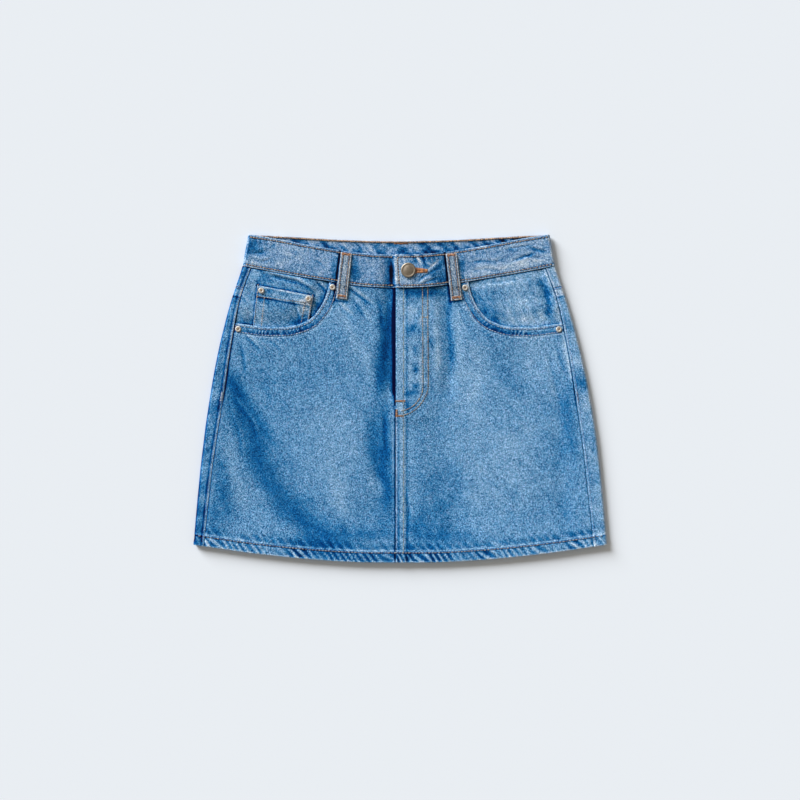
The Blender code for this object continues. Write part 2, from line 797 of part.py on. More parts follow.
def turned(name, place, profile, finish, steps=18):
    """A round metal piece from its profile: radius and height, from bottom centre to top centre."""
    x, y, z = place
    points = [(x, y, z + profile[0][1])]
    rings = profile[1:-1]
    for radius, high in rings:
        for k in range(steps):
            turn = 2 * math.pi * k / steps
            points.append((x + radius * math.cos(turn), y + radius * math.sin(turn), z + high))
    points.append((x, y, z + profile[-1][1]))
    last = len(points) - 1
    faces = []
    for k in range(steps):
        n = (k + 1) % steps
        faces.append((0, 1 + n, 1 + k))
        for r in range(len(rings) - 1):
            a, b = 1 + r * steps, 1 + (r + 1) * steps
            faces.append((a + k, a + n, b + n, b + k))
        a = 1 + (len(rings) - 1) * steps
        faces.append((a + k, a + n, last))
    made = add_object(name, points, faces, finish)
    made.data.shade_smooth()
    return made


def make_rivets(finish):
    r = RIVET_RADIUS
    profile = (
        (0.0, 0.0),
        (r * 0.96, 0.0),
        (r, 0.35),
        (r * 0.82, 0.9),
        (r * 0.45, 0.75),
        (r * 0.3, 1.15),
        (0.0, 1.25),
    )
    for name, x, y, seat in RIVETS:
        side = "right" if x < 0 else "left"
        around = [(x + r * math.cos(t), y + r * math.sin(t)) for t in np.linspace(0, 5.5, 8)]
        if seat == "coin":
            tops = [float(coin_top(px, py)) for px, py in around]
        else:
            tops = [float(panel_top(px, py, side)) for px, py in around]
        turned(f"rivet_{name}", (x, y, max(tops) + SEAM_GAP), profile, finish, 14)


def make_button(finish):
    """The waist button: a domed cap over the tab and a shank through its buttonhole."""
    x, y = BUTTON
    tab = max(float(band_top(x + dx, y, "left")) for dx in (-8, 0, 8))
    foot = float(band_top(x, y, "right")) + SEAM_GAP
    cap = tab + SEAM_GAP - foot
    r = BUTTON_RADIUS
    profile = (
        (0.0, 0.0),
        (SHANK_RADIUS, 0.0),
        (SHANK_RADIUS, cap),
        (r * 0.9, cap),
        (r, cap + 0.7),
        (r * 0.97, cap + 1.5),
        (r * 0.86, cap + 2.0),
        (r * 0.78, cap + 1.7),
        (r * 0.4, cap + BUTTON_HIGH - 0.3),
        (0.0, cap + BUTTON_HIGH),
    )
    turned("button", (x, y, foot), profile, finish, 28)


def main():
    for old in list(bpy.data.objects):
        bpy.data.objects.remove(old)
    denim = material("washed_denim", WASHED, 0.9)
    band = material("washed_denim_band", WASHED_BAND, 0.9)
    nickel = material("nickel", METAL, 0.35, 1.0)
    brass = material("antique_brass", BRASS, 0.4, 1.0)
    make_fronts(denim)
    make_backs(denim)
    make_waistband(band)
    make_facings(denim)
    make_coin_pocket(denim)
    for name, x0, y0, x1, y1 in FRONT_LOOPS:
        make_front_loop(name, (x0, y0), (x1, y1), band)
    for name, x in BACK_LOOPS:
        make_back_loop(name, x, band)
    make_rivets(nickel)
    make_button(brass)


main()
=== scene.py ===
# A washed denim mini skirt laid flat, seen from straight above.
# Lengths are in millimetres until a mesh is made. +X is the picture's right, which is the
# wearer's left. +Y runs from the hem to the waist, and +Z points up from the floor.
import math

import bpy
import numpy as np
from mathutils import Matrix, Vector


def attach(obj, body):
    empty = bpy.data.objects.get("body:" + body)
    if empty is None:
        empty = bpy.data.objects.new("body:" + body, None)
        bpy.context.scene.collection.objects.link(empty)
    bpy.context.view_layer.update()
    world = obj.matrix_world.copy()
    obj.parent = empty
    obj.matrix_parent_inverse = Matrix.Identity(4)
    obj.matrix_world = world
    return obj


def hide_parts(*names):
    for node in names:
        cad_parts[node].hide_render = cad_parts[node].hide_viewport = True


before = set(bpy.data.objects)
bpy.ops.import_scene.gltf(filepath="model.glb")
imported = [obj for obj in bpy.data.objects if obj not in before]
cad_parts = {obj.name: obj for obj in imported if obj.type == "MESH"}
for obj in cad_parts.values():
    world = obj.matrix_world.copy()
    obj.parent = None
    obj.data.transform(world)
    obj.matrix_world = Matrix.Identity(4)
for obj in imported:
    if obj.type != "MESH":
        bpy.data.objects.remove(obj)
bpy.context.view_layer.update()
mm = 0.001
print("frame loaded:", len(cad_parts), "nodes")

# The skirt's shape, the same named sizes as its solids

cloth = {
    "thick": 1.1,  # one layer of denim
    "seamGap": 0.3,
    "lapGap": 0.5,
    "hemDeep": 12.8,
    "hemThick": 2.2,
    "hemProud": 0.6,
    "seamProud": 0.5,
    "frontTop": 5.5,  # outer face of the front over the floor
    "frontDip": 1.6,  # the panels lie closer lower down
    "dipFromSide": 70.0,
    "dipFromHem": 60.0,
    "dipBelowWaist": (55.0, 115.0),
    "backLift": 1.3,  # the back waistband lies on its belt loops
    "liftShare": 0.6,
    "edgeRound": 0.5,  # how round a folded edge is
}
outline = {  # "out" is the distance from the centre line
    "side": (  # y, out
        (-172, 240.4), (-107, 234.7), (-23, 224.7), (60, 209.1), (116, 194), (154.9, 181.2),
        (190.4, 175),
    ),
    "seamInset": (  # y, wearer's right, wearer's left
        (-172, 12.6, 15.9), (-85, 14, 17.2), (4, 15.8, 16.6), (60, 13.6, 13.9), (129, 9.6, 10.4),
        (160, 10.9, 12.2),
    ),
    "frontSeam": (  # out, y
        (0, 128.7), (50, 131.4), (75, 135.2), (110, 141), (160, 149.9), (181.2, 154.2),
    ),
    "frontTop": (  # out, y
        (0, 167), (50, 169.6), (75, 173.3), (110, 179.3), (145, 186), (175, 190.4),
    ),
    "backSeam": ((0.0, 146.4), (69.0, 148.2), (125.0, 151.2), (181.2, 154.2)),
    "backTop": ((0.0, 183.1), (69.0, 184.8), (125.0, 188.0), (175.0, 190.4)),
    "yoke": ((0.0, 82.0), (95.0, 104.0), (190.0, 131.5)),
    "hem": (  # out, y
        (0, -190), (42, -189.8), (97, -186.8), (153, -181.4), (181, -178), (209, -173.9),
        (240.4, -169.4),
    ),
    "skew": 1.7,
    "skewOut": (8.0, 50.0),
    "skewUp": (-60.0, 130.0),
    "pocketEdge": (  # out, y
        (80.4, 137.2), (84, 121.5), (92.2, 105), (103, 92.8), (119, 85.6), (146, 83.2), (189.8, 87.8),
    ),
}
fly = {
    "edge": -5.3,  # the edge of the left front
    "base": -20.0,  # where the fly ends
    "underlap": 8.0,
    "lapEase": (25.0, 55.0),
    "seamEase": (9.0, 14.0),
    "foot": (-18.0, 6.0),
    "stitchIn": 8.9,  # first row of stitches, from the edge
    "curveInner": 26.5,  # the J's two rows, at these x
    "curveOuter": 32.9,
}
band = {
    "thick": 2.2,
    "proud": 0.8,
    "tabTop": -7.9,  # the tab's edge leans a little
    "tabLow": -5.6,
    "underEnd": 30.0,
    "tabEase": (2.0, 34.0),
    "foldIn": 2.9,
    "corner": 3.2,  # radius of the tab's corners
    "stitchIn": 2.7,
    "endStitchIn": 4.4,
}
# Main folds: panel, start x y, end x y, half width, height (troughs are negative)
folds = (
    ("right", -13, 150, -12, 8, 8, -1.2), ("right", -13, 150, -13, 70, 8, -0.6),
    ("right", -199, 25, -101, -145, 17, -1.2), ("right", -160, 45, -75, -105, 20, 0.8),
    ("right", -27, -30, -25, -116, 9, -0.7), ("left", 52, 112, 57, 12, 7, -0.9),
    ("left", 42, 112, 44, 20, 6, 0.5), ("left", 48, -78, 64, -150, 14, -0.8),
    ("left", 184, 5, 190, -135, 9, -0.8), ("left", 100, 40, 135, -110, 26, 0.7),
)
facingFolds = (
    ("right", -140.0, 146.0, -104.0, 130.0, 4.5, 0.7),
    ("left", 164.0, 148.0, 173.0, 98.0, 5.0, -0.8),
)


def smoothLine(rows, column=1, flatStart=False):
    at = np.array([row[0] for row in rows], float)
    value = np.array([row[column] for row in rows], float)
    slope = np.gradient(value, at)
    if flatStart:
        slope[0] = 0.0

    def line(x):
        x = np.clip(x, at[0], at[-1])
        i = np.clip(np.searchsorted(at, x, side="right") - 1, 0, len(at) - 2)
        span = at[i + 1] - at[i]
        t = (x - at[i]) / span
        return (
            (1 + 2 * t) * (1 - t) ** 2 * value[i]
            + t * (1 - t) ** 2 * span * slope[i]
            + t**2 * (3 - 2 * t) * value[i + 1]
            - t**2 * (1 - t) * span * slope[i + 1]
        )

    return line


def runAlong(points):
    return np.concatenate([[0], np.cumsum(np.linalg.norm(np.diff(points, axis=0), axis=1))])


def smoothPath(points, count):
    points = np.array(points, float)
    run = runAlong(points)
    at = np.linspace(0, run[-1], count)
    lines = [smoothLine(list(zip(run, points[:, k]))) for k in range(points.shape[1])]
    return np.stack([line(at) for line in lines], axis=1)


def resample(points, count):
    points = np.array(points, float)
    run = runAlong(points)
    at = np.linspace(0, run[-1], count)
    return np.stack([np.interp(at, run, points[:, k]) for k in range(points.shape[1])], axis=1)


def spaced(points, step):
    long = runAlong(np.array(points, float))[-1]
    return resample(points, max(2, round(long / step) + 1))


def evened(values, count):
    return np.interp(np.linspace(0, 1, count), np.linspace(0, 1, len(values)), values)


def ease(value, low, high):
    t = np.clip((value - low) / (high - low), 0, 1)
    return t * t * (3 - 2 * t)


def bell(away, wide, power=2):
    return np.exp(-((away / wide) ** power))


sideOut = smoothLine(outline["side"])
insetOf = {"right": smoothLine(outline["seamInset"], 1), "left": smoothLine(outline["seamInset"], 2)}
frontSeamY = smoothLine(outline["frontSeam"], flatStart=True)
frontTopY = smoothLine(outline["frontTop"], flatStart=True)
backSeamY = smoothLine(outline["backSeam"], flatStart=True)
backTopY = smoothLine(outline["backTop"], flatStart=True)
yokeY = smoothLine(outline["yoke"])
hemY = smoothLine(outline["hem"], flatStart=True)
pocketPath = smoothPath(outline["pocketEdge"], 80)
sign = {"right": -1.0, "left": 1.0}
sides = tuple(sign)
halfGap = cloth["seamGap"] / 2


def skewed(x, y):
    # the upper part lies a little towards the wearer's right, away from the fly
    return x - outline["skew"] * ease(np.abs(x), *outline["skewOut"]) * ease(y, *outline["skewUp"])


def seamX(y, side):
    return sign[side] * (sideOut(y) - insetOf[side](y))


def nearPath(x, y, path):
    # distance to a polyline, positive on its left, and the length run along it
    best = np.full(np.shape(x), 1e9)
    turn = np.ones(np.shape(x))
    along = np.zeros(np.shape(x))
    run = 0.0
    for (x0, y0), (x1, y1) in zip(path, path[1:]):
        dx, dy = x1 - x0, y1 - y0
        long = math.hypot(dx, dy)
        t = np.clip(((x - x0) * dx + (y - y0) * dy) / long**2, 0, 1)
        away = np.hypot(x - x0 - t * dx, y - y0 - t * dy)
        closer = away < best
        best = np.where(closer, away, best)
        turn = np.where(closer, np.where(dx * (y - y0) < dy * (x - x0), -1.0, 1.0), turn)
        along = np.where(closer, run + t * long, along)
        run += long
    return best * turn, along


def toPocketEdge(x, y):
    return np.abs(nearPath(np.abs(x), y, pocketPath)[0])


def backHeight(x, y):
    below = backSeamY(np.abs(x)) - y
    return cloth["backLift"] * (1 - ease(below, 16.0, 36.0))


def foldHeight(x, y, side, table):
    total = np.zeros(np.broadcast(x, y).shape)
    for panel, x0, y0, x1, y1, wide, high in table:
        if panel != side:
            continue
        long = math.hypot(x1 - x0, y1 - y0)
        ax, ay = (x1 - x0) / long, (y1 - y0) / long
        along = (x - x0) * ax + (y - y0) * ay
        past = np.maximum(np.maximum(-along, along - long), 0) / 1.8
        away = (x - x0) * ay - (y - y0) * ax
        total = total + high * np.exp(-(away**2 + past**2) / wide**2)
    return total


def hemShare(x, y):
    return 1 - ease(y - hemY(np.abs(x)), cloth["hemDeep"] - 1.5, cloth["hemDeep"] + 1.5)


def dipShare(x, y):
    out = np.abs(x)
    fromSide = ease(sideOut(y) - out, 6.0, cloth["dipFromSide"])
    fromHem = ease(y - hemY(out), cloth["hemDeep"] + 2.0, cloth["dipFromHem"])
    return fromSide * fromHem * ease(frontSeamY(out) - y, *cloth["dipBelowWaist"])


def frontHeight(x, y, side):
    level = cloth["frontTop"] - cloth["frontDip"] * dipShare(x, y)
    level = level + cloth["liftShare"] * backHeight(x, y)
    return level + foldHeight(x, y, side, folds) + cloth["hemProud"] * hemShare(x, y)


def flyLift(x, y):
    lap = (cloth["thick"] + cloth["lapGap"]) * (1 - ease(x - fly["edge"], *fly["lapEase"]))
    seam = cloth["seamProud"] * (1 - ease(x - fly["edge"], *fly["seamEase"]))
    share = ease(y - fly["base"], *fly["foot"])
    return lap * share + seam * (1 - share)


def tabLift(x):
    return (band["thick"] + cloth["lapGap"]) * (1 - ease(x - band["underEnd"], *band["tabEase"]))


def panelTop(x, y, side):
    top = frontHeight(x, y, side)
    return top + flyLift(x, y) if side == "left" else top


def bandTop(x, y, side):
    top = frontHeight(x, y, side) + band["proud"]
    return top + tabLift(x) if side == "left" else top


def panelThick(x, y):
    return cloth["thick"] + (cloth["hemThick"] - cloth["thick"]) * hemShare(x, y)


def facingTop(x, y, side):
    out = np.abs(x)
    drop = np.full(np.shape(x), cloth["thick"] + cloth["lapGap"])
    if side == "right":  # the coin pocket goes under the front panel too
        under = (coinPocket["thick"] + cloth["seamGap"]) * ease(out, 90, 104)
        drop = drop + under * (1 - ease(out, 172, 182))
    order = np.argsort(pocketPath[:, 0])
    edgeAt = np.interp(out, pocketPath[order, 0], pocketPath[order, 1])
    inOpening = (out > outline["pocketEdge"][0][0]) & (y > edgeAt)
    near = np.where(inOpening, 1 - ease(toPocketEdge(x, y), 1.0, 24.0), 1.0)
    return frontHeight(x, y, side) - drop * near + foldHeight(x, y, side, facingFolds) * (1 - near)


def coinPoint(u, v):
    (x0, y0), (x1, y1), (x2, y2), (x3, y3) = coinPocket["corners"]
    return (
        (1 - v) * ((1 - u) * x0 + u * x1) + v * ((1 - u) * x3 + u * x2),
        (1 - v) * ((1 - u) * y0 + u * y1) + v * ((1 - u) * y3 + u * y2),
    )


def coinBelow(x, y):
    # how far below the coin pocket's top edge
    (x0, y0), (x1, y1) = coinPocket["corners"][:2]
    return ((x - x0) * (y1 - y0) - (y - y0) * (x1 - x0)) / math.hypot(x1 - x0, y1 - y0)


def coinTop(x, y):
    turned = 0.5 * (1 - ease(coinBelow(x, y), coinPocket["bandDeep"] - 1.5, coinPocket["bandDeep"] + 1.5))
    return facingTop(x, y, "right") + cloth["seamGap"] + coinPocket["thick"] + turned


# Wear, painted shade and relief, drawn on each piece


def softNoise(x, y, size, seed):
    # smooth noise from -1 to 1, with blots about one size across
    lattice = np.random.default_rng(seed).uniform(-1, 1, (97, 97))
    gx, gy = np.asarray(x) / size + 31.3, np.asarray(y) / size + 47.7
    i, j = np.floor(gx).astype(int), np.floor(gy).astype(int)
    fx, fy = ease(gx - i, 0, 1), ease(gy - j, 0, 1)
    a, b = lattice[i % 97, j % 97], lattice[(i + 1) % 97, j % 97]
    c, d = lattice[i % 97, (j + 1) % 97], lattice[(i + 1) % 97, (j + 1) % 97]
    return a * (1 - fx) * (1 - fy) + b * fx * (1 - fy) + c * (1 - fx) * fy + d * fx * fy


def blankLook(x):
    # wearAndShade holds the cloth's wash and wear together with painted shade and painted light
    return {"wearAndShade": np.zeros(np.shape(x)), "relief": np.zeros(np.shape(x))}


def addMottle(look, x, y, seed, amount=1.0):
    # uneven stone wash, from hand-wide clouds down to finger-wide blots
    for size, share, step in ((46.0, 0.08, 0), (17.0, 0.06, 1), (7.0, 0.035, 2), (3.2, 0.025, 3)):
        look["wearAndShade"] += amount * share * softNoise(x, y, size, seed + step)
    look["relief"] += 0.12 * amount * softNoise(x, y, 19.0, seed + 5)


def addStreaks(look, x, y, seed, amount=1.0):
    # short marks along the twill lines, where the wash has caught the cloth
    across, along = 0.82 * x + 0.57 * y, 0.82 * y - 0.57 * x
    for wide, long, share, step in ((2.6, 8.0, 0.075, 0), (5.5, 19.0, 0.055, 1), (1.5, 4.0, 0.06, 2)):
        look["wearAndShade"] += amount * share * softNoise(across / wide, along / long, 1.0, seed + step)


def addFades(look, x, y, table, seed):
    # x, y, half length, half width, turn in degrees, amount: pale above 0 and dark below; the fades are
    # stone wash and also painted shade and light over the folds
    for k, (cx, cy, long, wide, turn, amount) in enumerate(table):
        a = math.radians(turn)
        u = ((x - cx) * math.cos(a) + (y - cy) * math.sin(a)) / long
        v = ((y - cy) * math.cos(a) - (x - cx) * math.sin(a)) / wide
        ragged = 0.22 * softNoise(x, y, 9.0, seed + k) + 0.14 * softNoise(x, y, 4.0, seed + k + 40)
        look["wearAndShade"] += amount * np.exp(-((u**2 + v**2) ** 1.3)) * (1 + ragged)


def addGroove(look, away, along, seed, depth=0.3, pale=0.2, dark=0.25, shoulder=1.8, wide=0.8):
    # a row of stitches sinks into the cloth, its groove painted darker as painted shade, and the cloth
    # beside it is rubbed pale
    patchy = 1 + 0.55 * softNoise(along, 0 * along, 6.0, seed)
    sunk = bell(away, wide)
    beside = bell(np.abs(away) - shoulder, 0.85)
    look["relief"] -= depth * sunk
    look["wearAndShade"] += pale * patchy * beside - dark * sunk


def addRidge(look, away, along, seed, wide=1.0, pale=0.4, high=0.0):
    # an edge or a thick seam that has rubbed pale along its crest
    patchy = 1 + 0.4 * softNoise(along, 0 * along, 7.0, seed)
    patchy = patchy + 0.25 * softNoise(along, 0 * along, 2.5, seed + 1)
    crest = bell(away, wide)
    look["wearAndShade"] += pale * patchy * crest
    look["relief"] += high * crest


def addPuckers(look, away, along, seed, low, high, pitch, depth, pale, slant=0.0, fade=2.0, share=1.0):
    # short pale ridges across a stitched band with dark cells between, where one layer pulled the other
    inBand = share * ease(away, low - fade / 2, low + fade / 2) * (1 - ease(away, high - fade, high + fade))
    drift = 0.75 * softNoise(along, 0 * along, pitch * 2.3, seed)
    strength = 0.7 + 0.6 * softNoise(along, 0 * along, pitch * 1.7, seed + 1)
    bend = slant * away + 0.5 * softNoise(along, away, 4.0, seed + 2)
    wave = 0.5 + 0.5 * np.cos(2 * np.pi * ((along + bend) / pitch + drift))
    crest = wave**2.2
    look["relief"] += depth * (2 * crest - 0.8) * strength * inBand
    look["wearAndShade"] += pale * (2 * crest - 0.9) * strength * inBand


# Meshes


def spread(length, step, fineStart=0.0, fineEnd=0.0, grow=0.35):
    # places from 0 to length, closer together near an end with a fine step
    at = np.linspace(0, length, int(length / 0.05) + 2)
    steps = np.full(at.shape, float(step))
    if fineStart:
        steps = np.minimum(steps, fineStart + grow * at)
    if fineEnd:
        steps = np.minimum(steps, fineEnd + grow * (length - at))
    count = np.concatenate([[0], np.cumsum((1 / steps[1:] + 1 / steps[:-1]) / 2 * np.diff(at))])
    return np.interp(np.linspace(0, count[-1], int(math.ceil(count[-1])) + 1), count, at)


def gridFaces(rows, columns, start=0):
    r, c = np.meshgrid(np.arange(rows - 1), np.arange(columns - 1), indexing="ij")
    a = (start + r * columns + c).ravel()
    return np.stack([a, a + 1, a + columns + 1, a + columns], axis=1)


def addObject(name, data):
    piece = bpy.data.objects.new(name, data)
    bpy.context.scene.collection.objects.link(piece)
    return piece


def meshFrom(name, points, quads, attributes):
    points[:, 0] = skewed(points[:, 0], points[:, 1])
    mesh = bpy.data.meshes.new(name)
    mesh.vertices.add(len(points))
    mesh.vertices.foreach_set("co", (points * mm).astype(np.float32).ravel())
    mesh.loops.add(quads.size)
    mesh.loops.foreach_set("vertex_index", quads.astype(np.int32).ravel())
    mesh.polygons.add(len(quads))
    mesh.polygons.foreach_set("loop_start", np.arange(0, quads.size, 4, dtype=np.int32))
    mesh.polygons.foreach_set("use_smooth", np.full(len(quads), True))
    for key, (kind, values) in attributes.items():
        field = "vector" if kind == "FLOAT_VECTOR" else "value"
        made = mesh.attributes.new(key, kind, "POINT")
        made.data.foreach_set(field, values.astype(np.float32).ravel())
    mesh.update(calc_edges=True)
    mesh.validate()
    return addObject(name, mesh)


def edgeTowardLamp(face, edgeAway):
    # 1 where an edge looks to the picture's upper left, towards the lamp, and -1 opposite
    xr, xc = np.gradient(face[..., 0])
    yr, yc = np.gradient(face[..., 1])
    er, ec = np.gradient(edgeAway)
    size = xc * yr - xr * yc
    size = np.where(np.abs(size) < 1e-6, 1e-6, size)
    gx, gy = (ec * yr - er * yc) / size, (xc * er - xr * ec) / size
    return (0.64 * gx - 0.77 * gy) / np.maximum(np.hypot(gx, gy), 1e-6)


def upright(face, way=1.0):
    normal = np.zeros(face.shape)
    normal[..., 2] = way
    return normal


def clothWall(
    name,
    node,
    face,
    normal,
    thick,
    look,
    grain,
    edgeAway,
    material,
    slotName="denim",
    inner=None,
    rim=0.42,
    paintedSideLight=0.42,
):
    # a wall from the grid of its outer face: relief outside, a plain inside and rounded edges;
    # rim paints shade on the upper left edges, which face the lamp, and paints light on the lower right
    # ones; paintedSideLight paints light on what leans right, away from the lamp, and shade on what leans
    # left
    rows, columns = face.shape[:2]
    bend = np.minimum(cloth["edgeRound"], thick * 0.45)
    t = np.clip(edgeAway / bend, 0, 1)
    drop = bend * (1 - np.sqrt(1 - (1 - t) ** 2)) * 0.92
    quiet = ease(edgeAway, 0.0, 1.2)
    outer = face + normal * (look["relief"] * quiet - drop)[..., None]
    plain = face - normal * (thick - drop)[..., None] if inner is None else inner + normal * drop[..., None]
    points = np.concatenate([outer.reshape(-1, 3), plain.reshape(-1, 3)])
    size = rows * columns
    at = np.arange(size).reshape(rows, columns)
    loop = np.concatenate([at[0], at[1:, -1], at[-1, -2::-1], at[-2:0:-1, 0]])
    after = np.roll(loop, -1)
    ends = np.stack([after, loop, loop + size, after + size], axis=1)
    quads = np.concatenate([gridFaces(rows, columns), gridFaces(rows, columns, size)[:, ::-1], ends])
    r, c = rows // 2, columns // 2
    if np.dot(np.cross(outer[r, c + 1] - outer[r, c], outer[r + 1, c] - outer[r, c]), normal[r, c]) < 0:
        quads = quads[:, ::-1]
    # painted shade on edges that face the lamp, painted light on edges that look away from it
    look["wearAndShade"] -= rim * edgeTowardLamp(face, edgeAway) * bell(edgeAway, 0.7)
    # painted light on what leans right, away from the lamp, painted shade on what leans left
    look["wearAndShade"] += paintedSideLight * normal[..., 0]
    grains = np.stack([*grain, np.zeros((rows, columns))], 2).reshape(-1, 3)
    inside = look.get("insideWear", look["wearAndShade"] * 0.4)
    attributes = {
        "wearAndShade": ("FLOAT", np.concatenate([look["wearAndShade"].reshape(-1), inside.reshape(-1)])),
        "grain": ("FLOAT_VECTOR", np.concatenate([grains, grains * (-1, 1, 1)])),
    }
    piece = meshFrom(name, points, quads, attributes)
    piece.data.materials.append(material)
    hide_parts(node)
    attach(piece, "root")
    return piece


# Materials


def linear(hexColour):
    values = [int(hexColour[k : k + 2], 16) / 255 for k in (1, 3, 5)]
    return tuple(v / 12.92 if v <= 0.04045 else ((v + 0.055) / 1.055) ** 2.4 for v in values) + (1.0,)


def addNode(tree, kind, inputs=(), **settings):
    # inputs by name or in order: a value, a socket, or a node for its first output
    node = tree.nodes.new(kind)
    for key, value in settings.items():
        setattr(node, key, value)
    for key, value in inputs.items() if isinstance(inputs, dict) else enumerate(inputs):
        if isinstance(value, bpy.types.Node):
            value = value.outputs[0]
        if isinstance(value, bpy.types.NodeSocket):
            tree.links.new(value, node.inputs[key])
        else:
            node.inputs[key].default_value = value
    return node


def blankMaterial(name, settings):
    made = bpy.data.materials.new(name)
    made.use_nodes = True
    shader = made.node_tree.nodes["Principled BSDF"]
    for key, value in settings.items():
        shader.inputs[key].default_value = value
    return made, made.node_tree, shader


def rampNode(tree, value, stops):
    ramp = addNode(tree, "ShaderNodeValToRGB", {"Fac": value})
    points = ramp.color_ramp.elements
    points[0].position, points[0].color = stops[0][0], linear(stops[0][1])
    points[1].position, points[1].color = stops[-1][0], linear(stops[-1][1])
    for place, colour in stops[1:-1]:
        points.new(place).color = linear(colour)
    return ramp.outputs["Color"]


denimWash = {
    "twillPitch": 2.7,  # real twill lines are 1.2 mm apart, too fine to show at this distance
    "twillTurn": 0.75,  # how far the lines lean
    "twillAmount": 0.05,
    "twillBreak": 5.0,  # slubs bend the lines, so that they never run far
    "slub": (1.2, 4.0),  # a yarn's speckles across and along, drawn at twice the real size
    "slubAmount": 0.11,
    "thread": (0.5, 0.62),  # single threads, each its own shade, drawn at twice the real size
    "threadAmount": 0.8,
    "threadShade": 0.6,
    "cloudAmount": 0.07,
    "reach": (-0.4, 1.4),  # the fades at which the ramp starts and ends
    "bump": 0.3,
}
indigo = (  # fade, colour: from the black blue of painted shade in creases and gaps through unfaded indigo to a rubbed edge
    (-0.4, "#00052e"), (-0.22, "#001d4d"), (-0.04, "#003e7c"), (0.12, "#06528e"), (0.24, "#12649f"),
    (0.37, "#2b79ac"), (0.5, "#4b8ab6"), (0.62, "#6498c0"), (0.76, "#7ba8cc"), (0.9, "#8db2d2"),
    (1.1, "#aac6dd"), (1.4, "#d6e1ea"),
)
greyIndigo = (  # the waistband is rubbed greyer
    (-0.4, "#04061a"), (-0.22, "#061f45"), (-0.04, "#063a70"), (0.12, "#0b5690"), (0.25, "#206c9f"),
    (0.42, "#4883b1"), (0.56, "#6994bb"), (0.72, "#88a4c3"), (0.88, "#9ab4c9"), (1.1, "#b4c6d4"),
    (1.4, "#dce2e6"),
)
loopIndigo = (  # the belt loops are rubbed almost grey
    (-0.4, "#0a0d22"), (-0.1, "#14305a"), (0.15, "#2a5680"), (0.4, "#587f9f"), (0.6, "#7d96ab"),
    (0.8, "#9caab4"), (1.1, "#bcc5ca"), (1.4, "#dfe2e2"),
)


